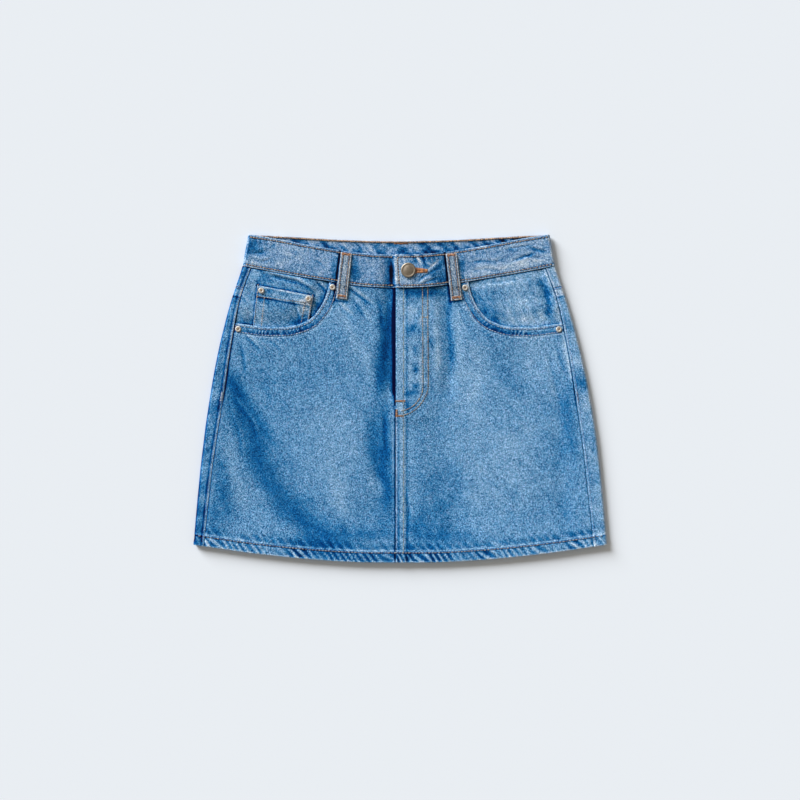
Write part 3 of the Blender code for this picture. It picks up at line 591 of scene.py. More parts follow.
def washedDenim(name, level, stops, wash=denimWash):
    # 12 oz cotton twill, ring spun, stone washed: matte, speckled where white weft shows
    matte = {"Roughness": 0.9, "Specular IOR Level": 0.05, "Sheen Weight": 0.01, "Sheen Roughness": 0.6}
    made, tree, shader = blankMaterial(name, matte)
    grain = addNode(tree, "ShaderNodeAttribute", attribute_name="grain").outputs["Vector"]
    wearAndShade = addNode(tree, "ShaderNodeAttribute", attribute_name="wearAndShade").outputs["Fac"]
    lean = {"Vector": grain, "Rotation": (0, 0, -math.atan(wash["twillTurn"]))}
    leaning = addNode(tree, "ShaderNodeMapping", lean)
    wobble = addNode(tree, "ShaderNodeTexNoise", {"Vector": leaning, "Scale": 0.22, "Detail": 1.0})
    split = addNode(tree, "ShaderNodeSeparateXYZ", {"Vector": leaning})
    shift = wash["twillBreak"] * wash["twillPitch"]
    bent = addNode(tree, "ShaderNodeMath", (wobble, shift, split), operation="MULTIPLY_ADD")
    waves = 2 * math.pi / wash["twillPitch"]
    phase = addNode(tree, "ShaderNodeMath", (bent, waves), operation="MULTIPLY")
    twill = addNode(tree, "ShaderNodeMath", (phase,), operation="SINE")
    yarn, thread = (
        addNode(tree, "ShaderNodeMapping", {"Vector": leaning, "Scale": (1 / across, 1 / along, 1.0)})
        for across, along in (wash["slub"], wash["thread"])
    )
    speckle = {"Vector": yarn, "Scale": 1.0, "Detail": 1.5, "Roughness": 0.7}
    slub = addNode(tree, "ShaderNodeTexNoise", speckle)
    clouds = {"Vector": grain, "Scale": 0.16, "Detail": 3.0, "Roughness": 0.6}
    cloud = addNode(tree, "ShaderNodeTexNoise", clouds)
    cell = addNode(tree, "ShaderNodeTexVoronoi", {"Vector": thread, "Scale": 1.0}).outputs["Color"]
    ownShade = addNode(tree, "ShaderNodeSeparateColor", {"Color": cell})
    # where the fade is dark, both in deep dye and in painted shade, little white shows between the threads
    gain = addNode(tree, "ShaderNodeMapRange", (wearAndShade, -0.6, -0.1, 0.2, 1.0))
    fade = addNode(tree, "ShaderNodeMath", (wearAndShade, level), operation="ADD")
    for source, centre, amount in (
        (twill, 0.0, wash["twillAmount"]),
        (slub, 0.5, wash["slubAmount"]),
        (ownShade, 0.5, wash["threadAmount"]),
        (cloud, 0.5, wash["cloudAmount"] * 2),
    ):
        shifted = addNode(tree, "ShaderNodeMath", (source, centre), operation="SUBTRACT")
        gained = addNode(tree, "ShaderNodeMath", (shifted, gain), operation="MULTIPLY")
        fade = addNode(tree, "ShaderNodeMath", (gained, amount, fade), operation="MULTIPLY_ADD")
    low, high = wash["reach"]
    fade = addNode(tree, "ShaderNodeMapRange", (fade, low, high, 0.0, 1.0))
    colour = rampNode(tree, fade, [((place - low) / (high - low), shade) for place, shade in stops])
    # a slight lavender cast comes and goes on the pale parts, as on real washed indigo
    cast = addNode(tree, "ShaderNodeTexNoise", {"Vector": grain, "Scale": 0.3, "Detail": 2.0})
    share = addNode(tree, "ShaderNodeMapRange", (cast, 0.48, 0.72, 0.0, 0.4))
    pale = addNode(tree, "ShaderNodeMapRange", (fade, 0.34, 0.64, 0.0, 1.0))
    both = addNode(tree, "ShaderNodeMath", (share, pale), operation="MULTIPLY")
    tint = {"Factor": both, 6: colour, 7: linear("#8f9fd0")}
    tinted = addNode(tree, "ShaderNodeMix", tint, data_type="RGBA").outputs[2]
    depth = wash["threadShade"]
    shade = addNode(tree, "ShaderNodeMapRange", (ownShade, 0.0, 1.0, 1.0 - depth, 1.0 + depth))
    shaded = addNode(tree, "ShaderNodeHueSaturation", {"Value": shade, "Color": tinted})
    weave = addNode(tree, "ShaderNodeMath", (twill, 0.2, slub), operation="MULTIPLY_ADD")
    raised = {"Height": weave, "Strength": wash["bump"], "Distance": 0.5 * mm}
    bump = addNode(tree, "ShaderNodeBump", raised)
    tree.links.new(shaded.outputs["Color"], shader.inputs["Base Color"])
    tree.links.new(bump.outputs["Normal"], shader.inputs["Normal"])
    return made


def addPatches(tree, shader, patch, detail, stops):
    # blots of two colours, fixed to the piece
    place = addNode(tree, "ShaderNodeTexCoord").outputs["Object"]
    blots = {"Vector": place, "Scale": 1 / (patch * mm), "Detail": detail}
    patches = addNode(tree, "ShaderNodeTexNoise", blots)
    tree.links.new(rampNode(tree, patches, stops), shader.inputs["Base Color"])
    return patches


def threadMaterial(name, dark, pale, patch=2.6):
    # spun polyester topstitching thread, its orange rubbed and washed towards tan
    made, tree, shader = blankMaterial(name, {"Roughness": 0.7, "Sheen Weight": 0.2})
    addPatches(tree, shader, patch, 1.0, ((0.43, dark), (0.57, pale)))
    return made


def metalMaterial(name, dark, pale, rough, patch):
    # stamped metal, tumbled dull with the skirt: darker in its hollows
    made, tree, shader = blankMaterial(name, {"Metallic": 1.0})
    stain = addPatches(tree, shader, patch, 3.0, ((0.35, dark), (0.65, pale)))
    rub = addNode(tree, "ShaderNodeMapRange", (stain, 0.3, 0.7, rough + 0.12, rough))
    tree.links.new(rub.outputs["Result"], shader.inputs["Roughness"])
    return made


denimPanel = washedDenim("washed_denim_panel", 0.445, indigo)
denimBand = washedDenim("washed_denim_band", 0.48, greyIndigo, {**denimWash, "slubAmount": 0.24})
denimLoop = washedDenim("washed_denim_loop", 0.56, loopIndigo)
tanThread = threadMaterial("tan_thread", "#313b50", "#b29c84", 1.3)
hemThread = threadMaterial("hem_thread", "#2d4666", "#919694", 1.5)
rubbedThread = threadMaterial("rubbed_thread", "#4a4244", "#c4a17f", 1.4)
fadedThread = threadMaterial("faded_thread", "#385a86", "#98a9bd")
paleThread = threadMaterial("pale_thread", "#50708a", "#9fb0b2")
sandThread = threadMaterial("sand_thread", "#4a5a6c", "#a89c86", 1.5)
brownThread = threadMaterial("brown_thread", "#5c4334", "#b78453", 1.4)
orangeThread = threadMaterial("orange_thread", "#7a5238", "#c58552")
slateThread = threadMaterial("slate_thread", "#2c3a70", "#8396c8")
wornNickel = metalMaterial("worn_nickel", "#b4b1aa", "#dedbd2", 0.62, 2.0)
antiqueBrass = metalMaterial("antique_brass", "#857c6e", "#aba191", 0.45, 5.0)
wornCentre = metalMaterial("worn_rivet_centre", "#6b5a4c", "#a8917a", 0.5, 1.0)
print("materials made")

# Front panels

frontPanel = {
    "step": 1.8,
    "flyStep": 0.9,
    "flyWide": 36.0,  # the columns are finer up to this x
    "pocketRows": (2.8, 9.9),  # two rows of stitches, from the pocket's edge
    "hemRow": 11.4,
    # x, y, half length, half width, turn, amount
    "rightFades": (
        (-74, -55, 80, 26, 118, 0.09), (-70, -110, 34, 14, 110, 0.1), (-128, -150, 34, 16, 125, 0.06),
        (-80, -164, 46, 16, 8, -0.22), (-17, -135, 34, 13, 90, -0.16), (-201, -158, 24, 12, 0, 0.12),
        (-205, -95, 40, 10, 95, -0.14), (-194, 20, 24, 10, -56, -0.3), (-205, -118, 60, 15, 98, -0.12),
        (-50, -128, 24, 10, -58, -0.14), (-62, -146, 34, 12, -28, -0.14),
        (-134, -68, 30, 9, -58, -0.08), (-84, 30, 50, 36, 0, -0.05), (-7, 6, 16, 5, 90, -0.3),
        (-8, -66, 24, 5, 90, -0.18), (-26, -124, 14, 8, 60, -0.12), (-30, -158, 26, 6, 0, -0.1),
        (-216, -142, 24, 8, 95, -0.16), (-226, -164, 9, 6, 0, 0.14), (-21, -106, 14, 5, 100, 0.14),
        (-160, -84, 44, 12, -58, -0.08), (-116, -142, 40, 13, -22, -0.14), (-30, -96, 20, 5, 110, 0.16),
        (-41, -112, 26, 9, 105, -0.16), (-35, 38, 26, 5, 100, 0.16), (-44, 103, 14, 8, 60, -0.14),
        (-110, 82, 14, 6, 25, -0.16), (-70, 131, 8, 5, -20, -0.26), (-150, 20, 60, 30, 110, -0.05),
        (-22, 112, 16, 14, 90, -0.1),
    ),
    "leftFades": (
        (74, 30, 80, 18, 92, 0.1), (160, 42, 36, 20, 100, 0.18), (196, 52, 40, 6, 103, 0.22),
        (60, -154, 16, 12, 0, -0.14), (19, -142, 24, 10, 90, -0.1), (112, -80, 60, 40, 110, 0.1),
        (53, 52, 50, 8, 92, -0.1), (43, 60, 46, 5, 90, 0.24), (37, 66, 8, 6, 90, -0.2),
        (14, 82, 5, 5, 0, -0.18), (19, 33, 4, 3, 0, -0.24), (18, 15, 5, 2.6, 0, -0.32),
        (13, 7, 9, 3, 12, -0.32), (12, -9, 7, 7, 50, -0.26), (14, 103, 12, 6, 0, 0.18),
        (14, 23, 9, 4, 0, 0.14), (60, -12, 34, 16, 20, -0.03), (36, -60, 60, 16, 95, -0.06),
        (196, -34, 50, 9, 97, -0.22), (186, 97, 10, 7, 100, 0.18), (87, -7, 30, 10, 80, 0.08),
        (57, -128, 34, 12, 90, -0.12), (60, -160, 60, 6, 0, -0.12), (184, -66, 18, 8, 95, -0.14),
        (200, -150, 16, 5, 8, 0.06), (20, -150, 24, 10, 0, -0.12), (190, -128, 14, 9, 95, -0.14),
        (204, 8, 20, 6, 100, -0.24), (146, 38, 24, 12, 10, -0.08), (112, 82, 16, 5, -30, -0.18),
        (103, 101, 16, 4, -50, 0.18), (81, 126, 10, 5, -70, 0.14), (98, 56, 16, 10, 0, 0.1),
        (46, 51, 14, 5, 90, 0.16), (33, -65, 40, 8, 92, 0.08), (160, 0, 22, 9, 20, 0.1),
        (158, -50, 44, 13, 92, 0.08), (92, 48, 26, 12, 90, 0.08), (36, -130, 60, 20, 95, -0.16),
        (27, 123, 28, 6, 0, -0.44), (10, -178, 9, 5, 90, -0.3),
    ),
}
coinPocket = {
    "corners": ((-164.0, 131.7), (-99.1, 119.4), (-106.2, 82.5), (-170.2, 78.5)),
    "bandDeep": 12.3,
    "thick": 1.0,
    "wide": 64.0,  # what the distances to its edges are reckoned from
    "long": 42.0,
    "fades": (  # x, y, half length, half width, turn, amount
        (-150, 125.5, 6, 4.5, 0, -0.4), (-133, 121.5, 6, 3.5, 0, -0.22), (-113, 119, 6, 3.5, 0, -0.2),
        (-142, 123, 22, 5, -10, 0.1), (-135, 102, 22, 12, 90, 0.14), (-107, 87, 9, 4, 25, -0.34),
        (-138, 106, 26, 18, -6, -0.09), (-107, 112, 10, 7, 80, 0.6), (-113, 91, 12, 6, 15, -0.5),
        (-135, 118, 26, 3, -10, 0.14), (-117, 106, 15, 9, 60, 0.2), (-160, 108, 22, 5, 85, 0.14),
        (-158, 115, 9, 4, 0, -0.3),
    ),
    # photo pixels, half width, depth, dark (painted shade in the trough), pale
    "creases": ((((291, 298), (295, 304), (298, 314), (300, 322)), 1.6, 0.6, 0.22, 0.22),),
}


def frontColumns(side):
    # where the columns start: along the waist seam, then along the pocket's edge
    s = sign[side]
    centre = fly["edge"] + (fly["underlap"] if side == "right" else halfGap)
    across = np.linspace(centre, s * outline["pocketEdge"][0][0], 80)
    waist = np.stack([across, frontSeamY(np.abs(across)) - halfGap], 1)
    pocket = pocketPath * (s, 1)
    pocket[-1] = (seamX(pocket[-1, 1], side) - s * halfGap, pocket[-1, 1])
    top = np.concatenate([waist[:-1], [(waist[-1] + pocket[0]) / 2], pocket[1:]])
    run = runAlong(top)
    at = spread(run[-1], frontPanel["step"], 0.3, 0.3)
    if side == "left":  # finer where the fly is stitched
        fineTo = np.interp(frontPanel["flyWide"], top[:, 0], run)
        rest = fineTo + spread(run[-1] - fineTo, frontPanel["step"], 0.9, 0.3)[1:]
        at = np.concatenate([spread(fineTo, frontPanel["flyStep"], 0.3), rest])
    return np.stack([np.interp(at, run, top[:, k]) for k in range(2)], 1)


def centreX(y, side):
    if side == "left":
        return np.full(np.shape(y), fly["edge"] + halfGap)
    stepped = ease(y, fly["base"] + 8, fly["base"] + 12)
    return fly["edge"] - halfGap + (fly["underlap"] + halfGap) * stepped


def frontGrid(side):
    start = frontColumns(side)

    def reach(y):
        middle = centreX(y, side)
        return middle, seamX(y, side) - sign[side] * halfGap - middle

    def acrossAt(y):
        middle, wide = reach(y)
        return middle + share * wide

    middle, wide = reach(start[:, 1])
    share = np.clip((start[:, 0] - middle) / wide, 0, 1)
    low = np.full(share.shape, -180.0)
    for _ in range(12):
        low = hemY(np.abs(acrossAt(low)))
    topZone, hemZone = 16.0, 18.0
    middleRows = np.linspace(0, 1, int(250 / frontPanel["step"]))[1:-1]
    long = start[:, 1] - low
    down = [np.full(share.shape, d) for d in spread(topZone, 1.4, 0.3)]
    down += [topZone + m * (long - topZone - hemZone) for m in middleRows]
    down += [long - hemZone + d for d in spread(hemZone, 1.2, 0, 0.3)]
    y = start[:, 1] - np.array(down)
    return np.array([acrossAt(row) for row in y]), y


def flyCurve(x):
    # one row of the fly's J: straight down, then round to the base
    inner = x < (fly["curveInner"] + fly["curveOuter"]) / 2
    foot, turnTop = (-13.7, 12.0) if inner else (-19.0, 15.0)
    reach = 2.5
    points = [(x, 129.0), (x, 60.0), (x, 20.0)]
    for k in range(1, 9):
        a = math.pi / 2 * k / 8
        turned = turnTop + (foot - turnTop) * math.sin(a) ** 1.2
        points.append((reach + (x - reach) * math.cos(a) ** 1.2, turned))
    return np.array(points)


def rowsOnFront(side):
    # every row of stitches on a front panel: name, path
    s = sign[side]
    rows = {}
    for k, offset in enumerate(frontPanel["pocketRows"]):
        path = pocketPath * (s, 1)
        tangent = np.gradient(path, axis=0)
        normal = np.stack([tangent[:, 1], -tangent[:, 0]], 1) / np.linalg.norm(tangent, axis=1)[:, None]
        if normal[-1, 1] > 0:
            normal = -normal
        moved = path + normal * offset
        keep = (moved[:, 1] < frontSeamY(np.abs(moved[:, 0])) - 0.6) & (np.abs(moved[:, 0]) < 189.0)
        rows[f"pocket{k}"] = moved[keep]
    far = abs(seamX(-165.0, side)) - 0.6
    out = np.linspace(abs(fly["edge"]) + 0.6 if side == "right" else fly["edge"] + 0.7, far, 90)
    rows["hem"] = np.stack([s * out, hemY(np.abs(out)) + frontPanel["hemRow"]], 1)
    if side == "left":
        x = fly["edge"] + fly["stitchIn"]
        rows["flyEdge"] = np.array([(x, 129.0), (x, -176.5)])
        rows["centreSeam"] = np.array([(fly["edge"] + 1.1, -22.0), (fly["edge"] + 1.1, -176.5)])
        rows["flyInner"] = flyCurve(fly["curveInner"])
        rows["flyOuter"] = flyCurve(fly["curveOuter"])
    return {key: spaced(path, 3.0) for key, path in rows.items()}


photo = {"scale": 1.16, "centre": (400.3, 398.8)}  # millimetres to a pixel, and the origin's pixel


def fromPhoto(*pixels):
    # a path read off the picture, put where it is on the straight skirt
    scale, (middleX, middleY) = photo["scale"], photo["centre"]
    path = [((px - middleX) * scale, (middleY - py) * scale) for px, py in pixels]
    return [(2 * x - float(skewed(x, y)), y) for x, y in path]


def addCrease(look, x, y, points, wide, depth, dark=0.0, pale=0.0, paleSide=1.0):
    # a soft trough painted dark, painted shade, with a rubbed crest beside it, fading out at both ends
    path = spaced(points, 2.5)
    away, along = nearPath(x, y, path)
    long = float(np.linalg.norm(np.diff(path, axis=0), axis=1).sum())
    share = ease(along, 0.0, 0.3 * long) * (1 - ease(along, 0.6 * long, long))
    trough = bell(away, wide) * share
    crest = bell(away - paleSide * 1.5 * wide, wide) * share
    look["relief"] += -depth * trough + 0.5 * depth * crest
    look["wearAndShade"] += pale * crest - dark * trough


def addCreases(look, x, y, table):
    for points, *settings in table:
        addCrease(look, x, y, fromPhoto(*points), *settings)


panelCreases = {  # photo pixels, half width, depth, dark (painted shade in the trough), pale (or 0), which side is pale (or 1)
    "right": (
        # the first three: painted shade beside the fly, where the right front lies under the raised left
        # front
        (((387, 288), (387, 330), (381, 372), (378, 400), (376, 425)), 8.5, 0.2, 0.34),
        (((372, 400), (373, 440), (380, 480), (389, 520)), 9.5, 0.2, 0.28),
        (((386, 384), (385, 412), (384, 450), (387, 485), (391, 530)), 6, 0.2, 0.24),
        (((214, 352), (226, 378), (240, 404), (252, 432), (260, 457), (269, 480), (286, 504),
        (310, 526), (356, 550)), 19, 0.2, 0.33),
        (((238, 372), (262, 408), (284, 440), (305, 470)), 9, 0, -0.07),
        (((226, 420), (232, 472), (250, 526)), 7, 0.2, -0.12),
        (((336, 298), (350, 330), (368, 376)), 7, 0.2, -0.16),
        (((385, 374), (389, 388), (391, 398), (391.8, 412)), 2, 0, -0.12),
        (((392.6, 392), (393, 430), (393, 490)), 1.4, 0, -0.26),
        # painted shadow along the belt loop's left side and under its lower end
        (((339.5, 256), (337.4, 273), (335.6, 288), (332.6, 314)), 1.3, 0.2, 1.2),
        (((330, 300.6), (335, 300.6), (343, 301.6), (352, 302.6)), 1.2, 0.1, 0.7),
        (((342, 284), (353, 291), (364, 299), (376, 309)), 1.9, 0.5, 0.4, 0.58),
        (((346, 291), (359, 307), (372, 332)), 2.2, 0.4, 0.24, 0.26),
        (((334, 298), (343, 309), (355, 320)), 2, 0.4, 0.18, 0.52),
        (((375, 290), (380, 308), (383, 340)), 2.6, 0.4, 0.2, 0.08),
        (((243, 333), (251, 341), (263, 352)), 1.6, 0.5, 0.34, 0.52),
        (((239, 338), (243, 354), (246, 378)), 2.2, 0.5, 0.28, 0.12),
        (((250, 337), (262, 346), (270, 352)), 1.4, 0.4, 0.2, 0.24),
        (((266, 338), (277, 346), (286, 356)), 1.3, 0.3, 0.18, 0.2),
        (((303, 335), (311, 343), (318, 353)), 1.3, 0.3, 0.16, 0.2),
        (((228, 392), (250, 420), (262, 450)), 2.4, 0.5, 0.14, 0.12),
        (((226, 402), (238, 430), (244, 470)), 2, 0.4, 0.12, 0.1),
        (((386, 404), (384, 430), (390, 470)), 2.4, 0.5, 0.16, 0.06, -1),
    ),
    "left": (
        (((470, 302), (474, 318), (484, 330)), 1.6, 0.4, 0.2, 0.2, -1),
        (((459, 304), (462, 318), (470, 332)), 1.8, 0.4, 0.14, 0.16, -1),
        (((446, 284), (449, 325), (452, 355), (449, 394)), 4.2, 0.5, 0.3, 0, -1),
        # painted shadow along the belt loop's left side and under its lower end
        (((445, 256), (447, 273), (449, 288), (451.6, 314)), 1.3, 0.2, 1.2),
        (((446, 301.4), (452, 301.2), (460, 300.6), (467, 300)), 1.2, 0.1, 0.7),
        (((466, 296), (480, 325), (492, 352), (508, 377), (532, 399), (574, 412)), 12, 0.2, 0.12),
        (((452, 306), (458, 330), (460, 372)), 4, 0.3, -0.14),
        (((430, 404), (452, 410), (474, 404)), 3.4, 0.3, 0.05, 0.05),
        (((555, 338), (560, 360), (570, 385)), 2.2, 0.4, 0.18, 0.12, -1),
        (((548, 344), (552, 372), (562, 410)), 2.6, 0.4, 0.1, 0.1, -1),
        (((404, 478), (409, 510), (408, 545)), 2, 0.3, 0.18, 0.06),
        (((446, 452), (462, 500), (470, 545)), 9, 0.2, 0.12),
    ),
}


def frontLook(x, y, side):
    look = blankLook(x)
    seed = 11 if side == "right" else 61
    addMottle(look, x, y, seed, 0.8)
    addStreaks(look, x, y, seed + 300, 0.5)
    addFades(look, x, y, frontPanel[side + "Fades"], seed + 20)
    addCreases(look, x, y, panelCreases[side])
    rows = rowsOnFront(side)
    # pocket: a pale turned edge, two rows of stitches, and puckers between and below them
    edge, along = nearPath(np.abs(x), y, pocketPath)
    edge = np.abs(edge)
    addRidge(look, edge - 1.1, along, seed + 1, 1.1, 0.44, 0.15)
    for k, offset in enumerate(frontPanel["pocketRows"]):
        addGroove(look, edge - offset, along, seed + 2 + k, 0.3, 0.0, 0.42, 1.8, 1.1)
    low = ease(np.abs(x), 90, 104) * (1 - ease(np.abs(x), 155, 178))
    look["wearAndShade"] += 0.10 * bell(edge - 4.4, 2.4)
    look["wearAndShade"] -= (0.20 + 0.10 * low) * bell(edge - 7.2, 2.4)
    addPuckers(look, edge, along, seed + 4, 4.0, 9.6, 5.2, 0.22, 0.50, 0.3, 1.4, 0.22 + 0.78 * low)
    addPuckers(look, edge, along, seed + 5, 10.6, 17.6, 6.2, 0.16, 0.22, 0.9, 4.0, 0.3 + 0.7 * low)
    addRidge(look, edge - 11.7, along, seed + 6, 0.9, 0.36)
    # side seam
    seamAway = np.abs(x - seamX(y, side))
    addRidge(look, seamAway - 3.2, y, seed + 7, 1.2, 0.06)
    if side == "left":
        addRidge(look, seamAway - 1.8, y, seed + 13, 0.9, 0.42 * ease(y, -5, 10))
    # painted shade along the side seam, stronger in the upper part
    lowSeamShade = 0.05 if side == "right" else 0.28
    look["wearAndShade"] -= (lowSeamShade + (0.95 - lowSeamShade) * ease(y, -10.0, 12.0)) * bell(seamAway, 1.5)
    # under the waistband: painted shade, a dark line along the seam and a soft band below it
    below = frontSeamY(np.abs(x)) - y
    look["wearAndShade"] -= 0.45 * bell(below, 1.2) + 0.10 * bell(below, 7.0)
    # hem: roped by the turn of the cloth, with a pale ridge over its stitches
    up = y - hemY(np.abs(x))
    addPuckers(look, up, x, seed + 8, 0.2, 10.6, 8.6, 0.40, 0.54, 0.8)
    addPuckers(look, up, x, seed + 9, 12.6, 22.0, 11.5, 0.2, 0.20, 0.9, 5.0)
    worn = 0.14 * ease(-x, 105, 150) + 0.12 * ease(x, 90, 165)
    worn = worn - 0.12 * ease(x, -100, -70) * (1 - ease(x, -20, 10))
    look["wearAndShade"] += (worn - 0.08) * (1 - ease(up, 9, 12))
    addRidge(look, up - 13.4, x, seed + 10, 0.9, 0.28, 0.1)
    addRidge(look, up - 0.8, x, seed + 12, 0.9, 0.34)
    addGroove(look, up - frontPanel["hemRow"], x, seed + 11, 0.35, 0.0, 0.7, 1.8, 1.0)
    look["wearAndShade"] -= 0.16 * ease(up, 14, 16) * (1 - ease(up, 17, 27))
    if side == "left":
        edgeAway = x - fly["edge"]
        down = 1 - ease(y, -26.0, -14.0)
        inBand = 1 - ease(edgeAway, 8.0, 10.5)
        look["wearAndShade"] += 0.16 * inBand
        addRidge(look, edgeAway - 10.5, y, seed + 14, 0.9, 0.22, 0.1)
        addGroove(look, edgeAway - fly["stitchIn"], y, seed + 15, 0.3, 0.0, 0.16)
        look["wearAndShade"] += down * 0.22 * bell(edgeAway - 0.8, 0.7)
        look["wearAndShade"] -= down * 0.36 * bell(edgeAway - 3.2, 1.6)
        look["wearAndShade"] -= 0.22 * bell(edgeAway - 12.9, 1.5)
        for k, key in enumerate(("flyInner", "flyOuter")):
            away, run = nearPath(x, y, rows[key])
            addGroove(look, away, run, seed + 16 + k, 0.3, 0.14, 0.22)
        between = bell(x - 29.3, 3.4) * ease(y, 5, 20) * (1 - ease(y, 108, 114))
        look["wearAndShade"] += between * (0.10 + 0.3 * softNoise(x, y, 6.0, seed + 18))
        rungs = 0.5 + 0.5 * np.cos(2 * np.pi * y / 4.2 + 2 * softNoise(0 * x, y, 9.0, seed + 21))
        look["wearAndShade"] -= 0.3 * bell(x - 29.3, 2.0) * rungs**2 * ease(y, 5, 20) * (1 - ease(y, 100, 108))
        inFly = ease(x, 6.0, 9.0) * (1 - ease(x, 24.0, 27.0)) * ease(y, 5, 20) * (1 - ease(y, 104, 112))
        look["wearAndShade"] += inFly * (0.02 + 0.28 * softNoise(x, y * 0.6, 6.5, seed + 19))
    else:
        away = fly["edge"] - x
        # beside the fly the cloth sinks into shade, black along the edge and tapering to the fly's foot
        beside = ease(y, 2.0, 24.0)
        look["wearAndShade"] -= 0.30 * beside * bell(away, 13.0)
        look["wearAndShade"] -= 0.85 * bell(away - 0.7, 0.9)
        wide = 0.8 + 3.1 * np.sqrt(ease(y, 0.0, 10.0)) * (1 - 0.25 * ease(y, 96.0, 124.0))
        look["wearAndShade"] -= 1.1 * bell(np.maximum(away, 0), wide, 5) * ease(y, -3.0, 4.0)
    return look


def sheetArea(face):
    a, b, c, d = face[:-1, :-1], face[:-1, 1:], face[1:, 1:], face[1:, :-1]
    halves = [np.linalg.norm(np.cross(*two), axis=2).sum() for two in ((d - a, b - a), (c - b, c - d))]
    return float(sum(halves) / 2) * mm * mm


def makeFront(side):
    x, y = frontGrid(side)
    look = frontLook(x, y, side)
    face = np.stack([x, y, panelTop(x, y, side)], 2)
    byPocket = np.abs(np.broadcast_to(x[0], x.shape)) > outline["pocketEdge"][0][0] - 0.5
    top = np.where(byPocket, toPocketEdge(x, y), frontSeamY(np.abs(x)) - y - halfGap)
    sideAway = np.abs(x - seamX(y, side)) - halfGap
    aways = [top, sideAway, np.abs(x - centreX(y, side)), y - hemY(np.abs(x))]
    edgeAway = np.maximum(np.minimum.reduce(aways), 0)
    look["relief"] *= ease(top, 0, 2)
    shape = (face, upright(face), panelThick(x, y))
    piece = clothWall(f"front_panel_{side}", f"front_{side}", *shape, look, (x, y), edgeAway, denimPanel)
    width = float(np.abs(x).max() + abs(fly["edge"]))
    sheetArea(face)


for side in sides:
    makeFront(side)
print("front panels made")

# Back panels and yokes

backPanel = {
    "step": 2.4,
    "stripStep": 0.8,
    "rowStep": 2.1,
    "flatCount": 84,  # columns under the skirt, and on the strip that wraps round its side
    "stripCount": 16,
    "seamRows": (2.0, 8.4),  # stitches beside the centre seam and under the yoke seam
}


def levelY(out, share, topLine, lowLine):
    return topLine(out) * (1 - share) + lowLine(out) * share


def backGrid(side, shares, topBack, topFront, lowLine, topGap, lowGap):
    # from the centre seam, under the skirt, round the folded side and up to the side seam
    s = sign[side]
    faces, normals, thicks, runs = [], [], [], []
    for share in shares:

        def frontY(out):
            return levelY(out, share, topFront, lowLine)

        def backY(out):
            return levelY(out, share, topBack, lowLine)

        wide = 200.0
        for _ in range(12):
            wide = float(sideOut(frontY(wide)))
        level = float(frontY(wide))
        low = float(backHeight(wide, level))
        high = float(frontHeight(np.array(s * wide), np.array(level), side))
        radius = (high - low) / 2
        end = wide
        for _ in range(8):
            end = abs(float(seamX(frontY(end), side))) + halfGap
        flat = spread(wide - radius - halfGap, backPanel["step"], 0.4, 1.0) + halfGap
        turn = np.radians(np.linspace(-90, 90, 14)[1:])
        strip = wide - radius - spread(wide - radius - end, backPanel["stripStep"], 0, 0.3)[1:]
        flat, strip = evened(flat, backPanel["flatCount"]), evened(strip, backPanel["stripCount"])
        part = (1 + np.sin(turn)) / 2
        outTurn = wide - radius + radius * np.cos(turn)
        yFlat, yStrip = backY(flat), frontY(strip)
        yTurn = (1 - part) * backY(outTurn) + part * frontY(outTurn)
        zTurn = low + radius + radius * np.sin(turn)
        zStrip = frontHeight(s * strip, yStrip, side)
        zStrip = zStrip + (zTurn[-1] - zStrip[0]) * (1 - ease(np.arange(len(strip)) / 4.0, 0, 1))
        out = np.concatenate([flat, outTurn, strip])
        y = np.concatenate([yFlat, yTurn, yStrip]) + lowGap * share - topGap * (1 - share)
        z = np.concatenate([backHeight(flat, yFlat), zTurn, zStrip])
        nx = np.concatenate([0 * flat, np.cos(turn), 0 * strip])
        nz = np.concatenate([0 * flat - 1, np.sin(turn), 0 * strip + 1])
        faces.append(np.stack([s * out, y, z], 1))
        normals.append(np.stack([s * nx, 0 * nx, nz], 1))
        thicks.append(np.minimum(panelThick(s * out, y), radius * 0.86 if radius < 3 else 9))
        runs.append(runAlong(faces[-1][:, [0, 2]]))
    return np.array(faces), np.array(normals), np.array(thicks), np.array(runs)


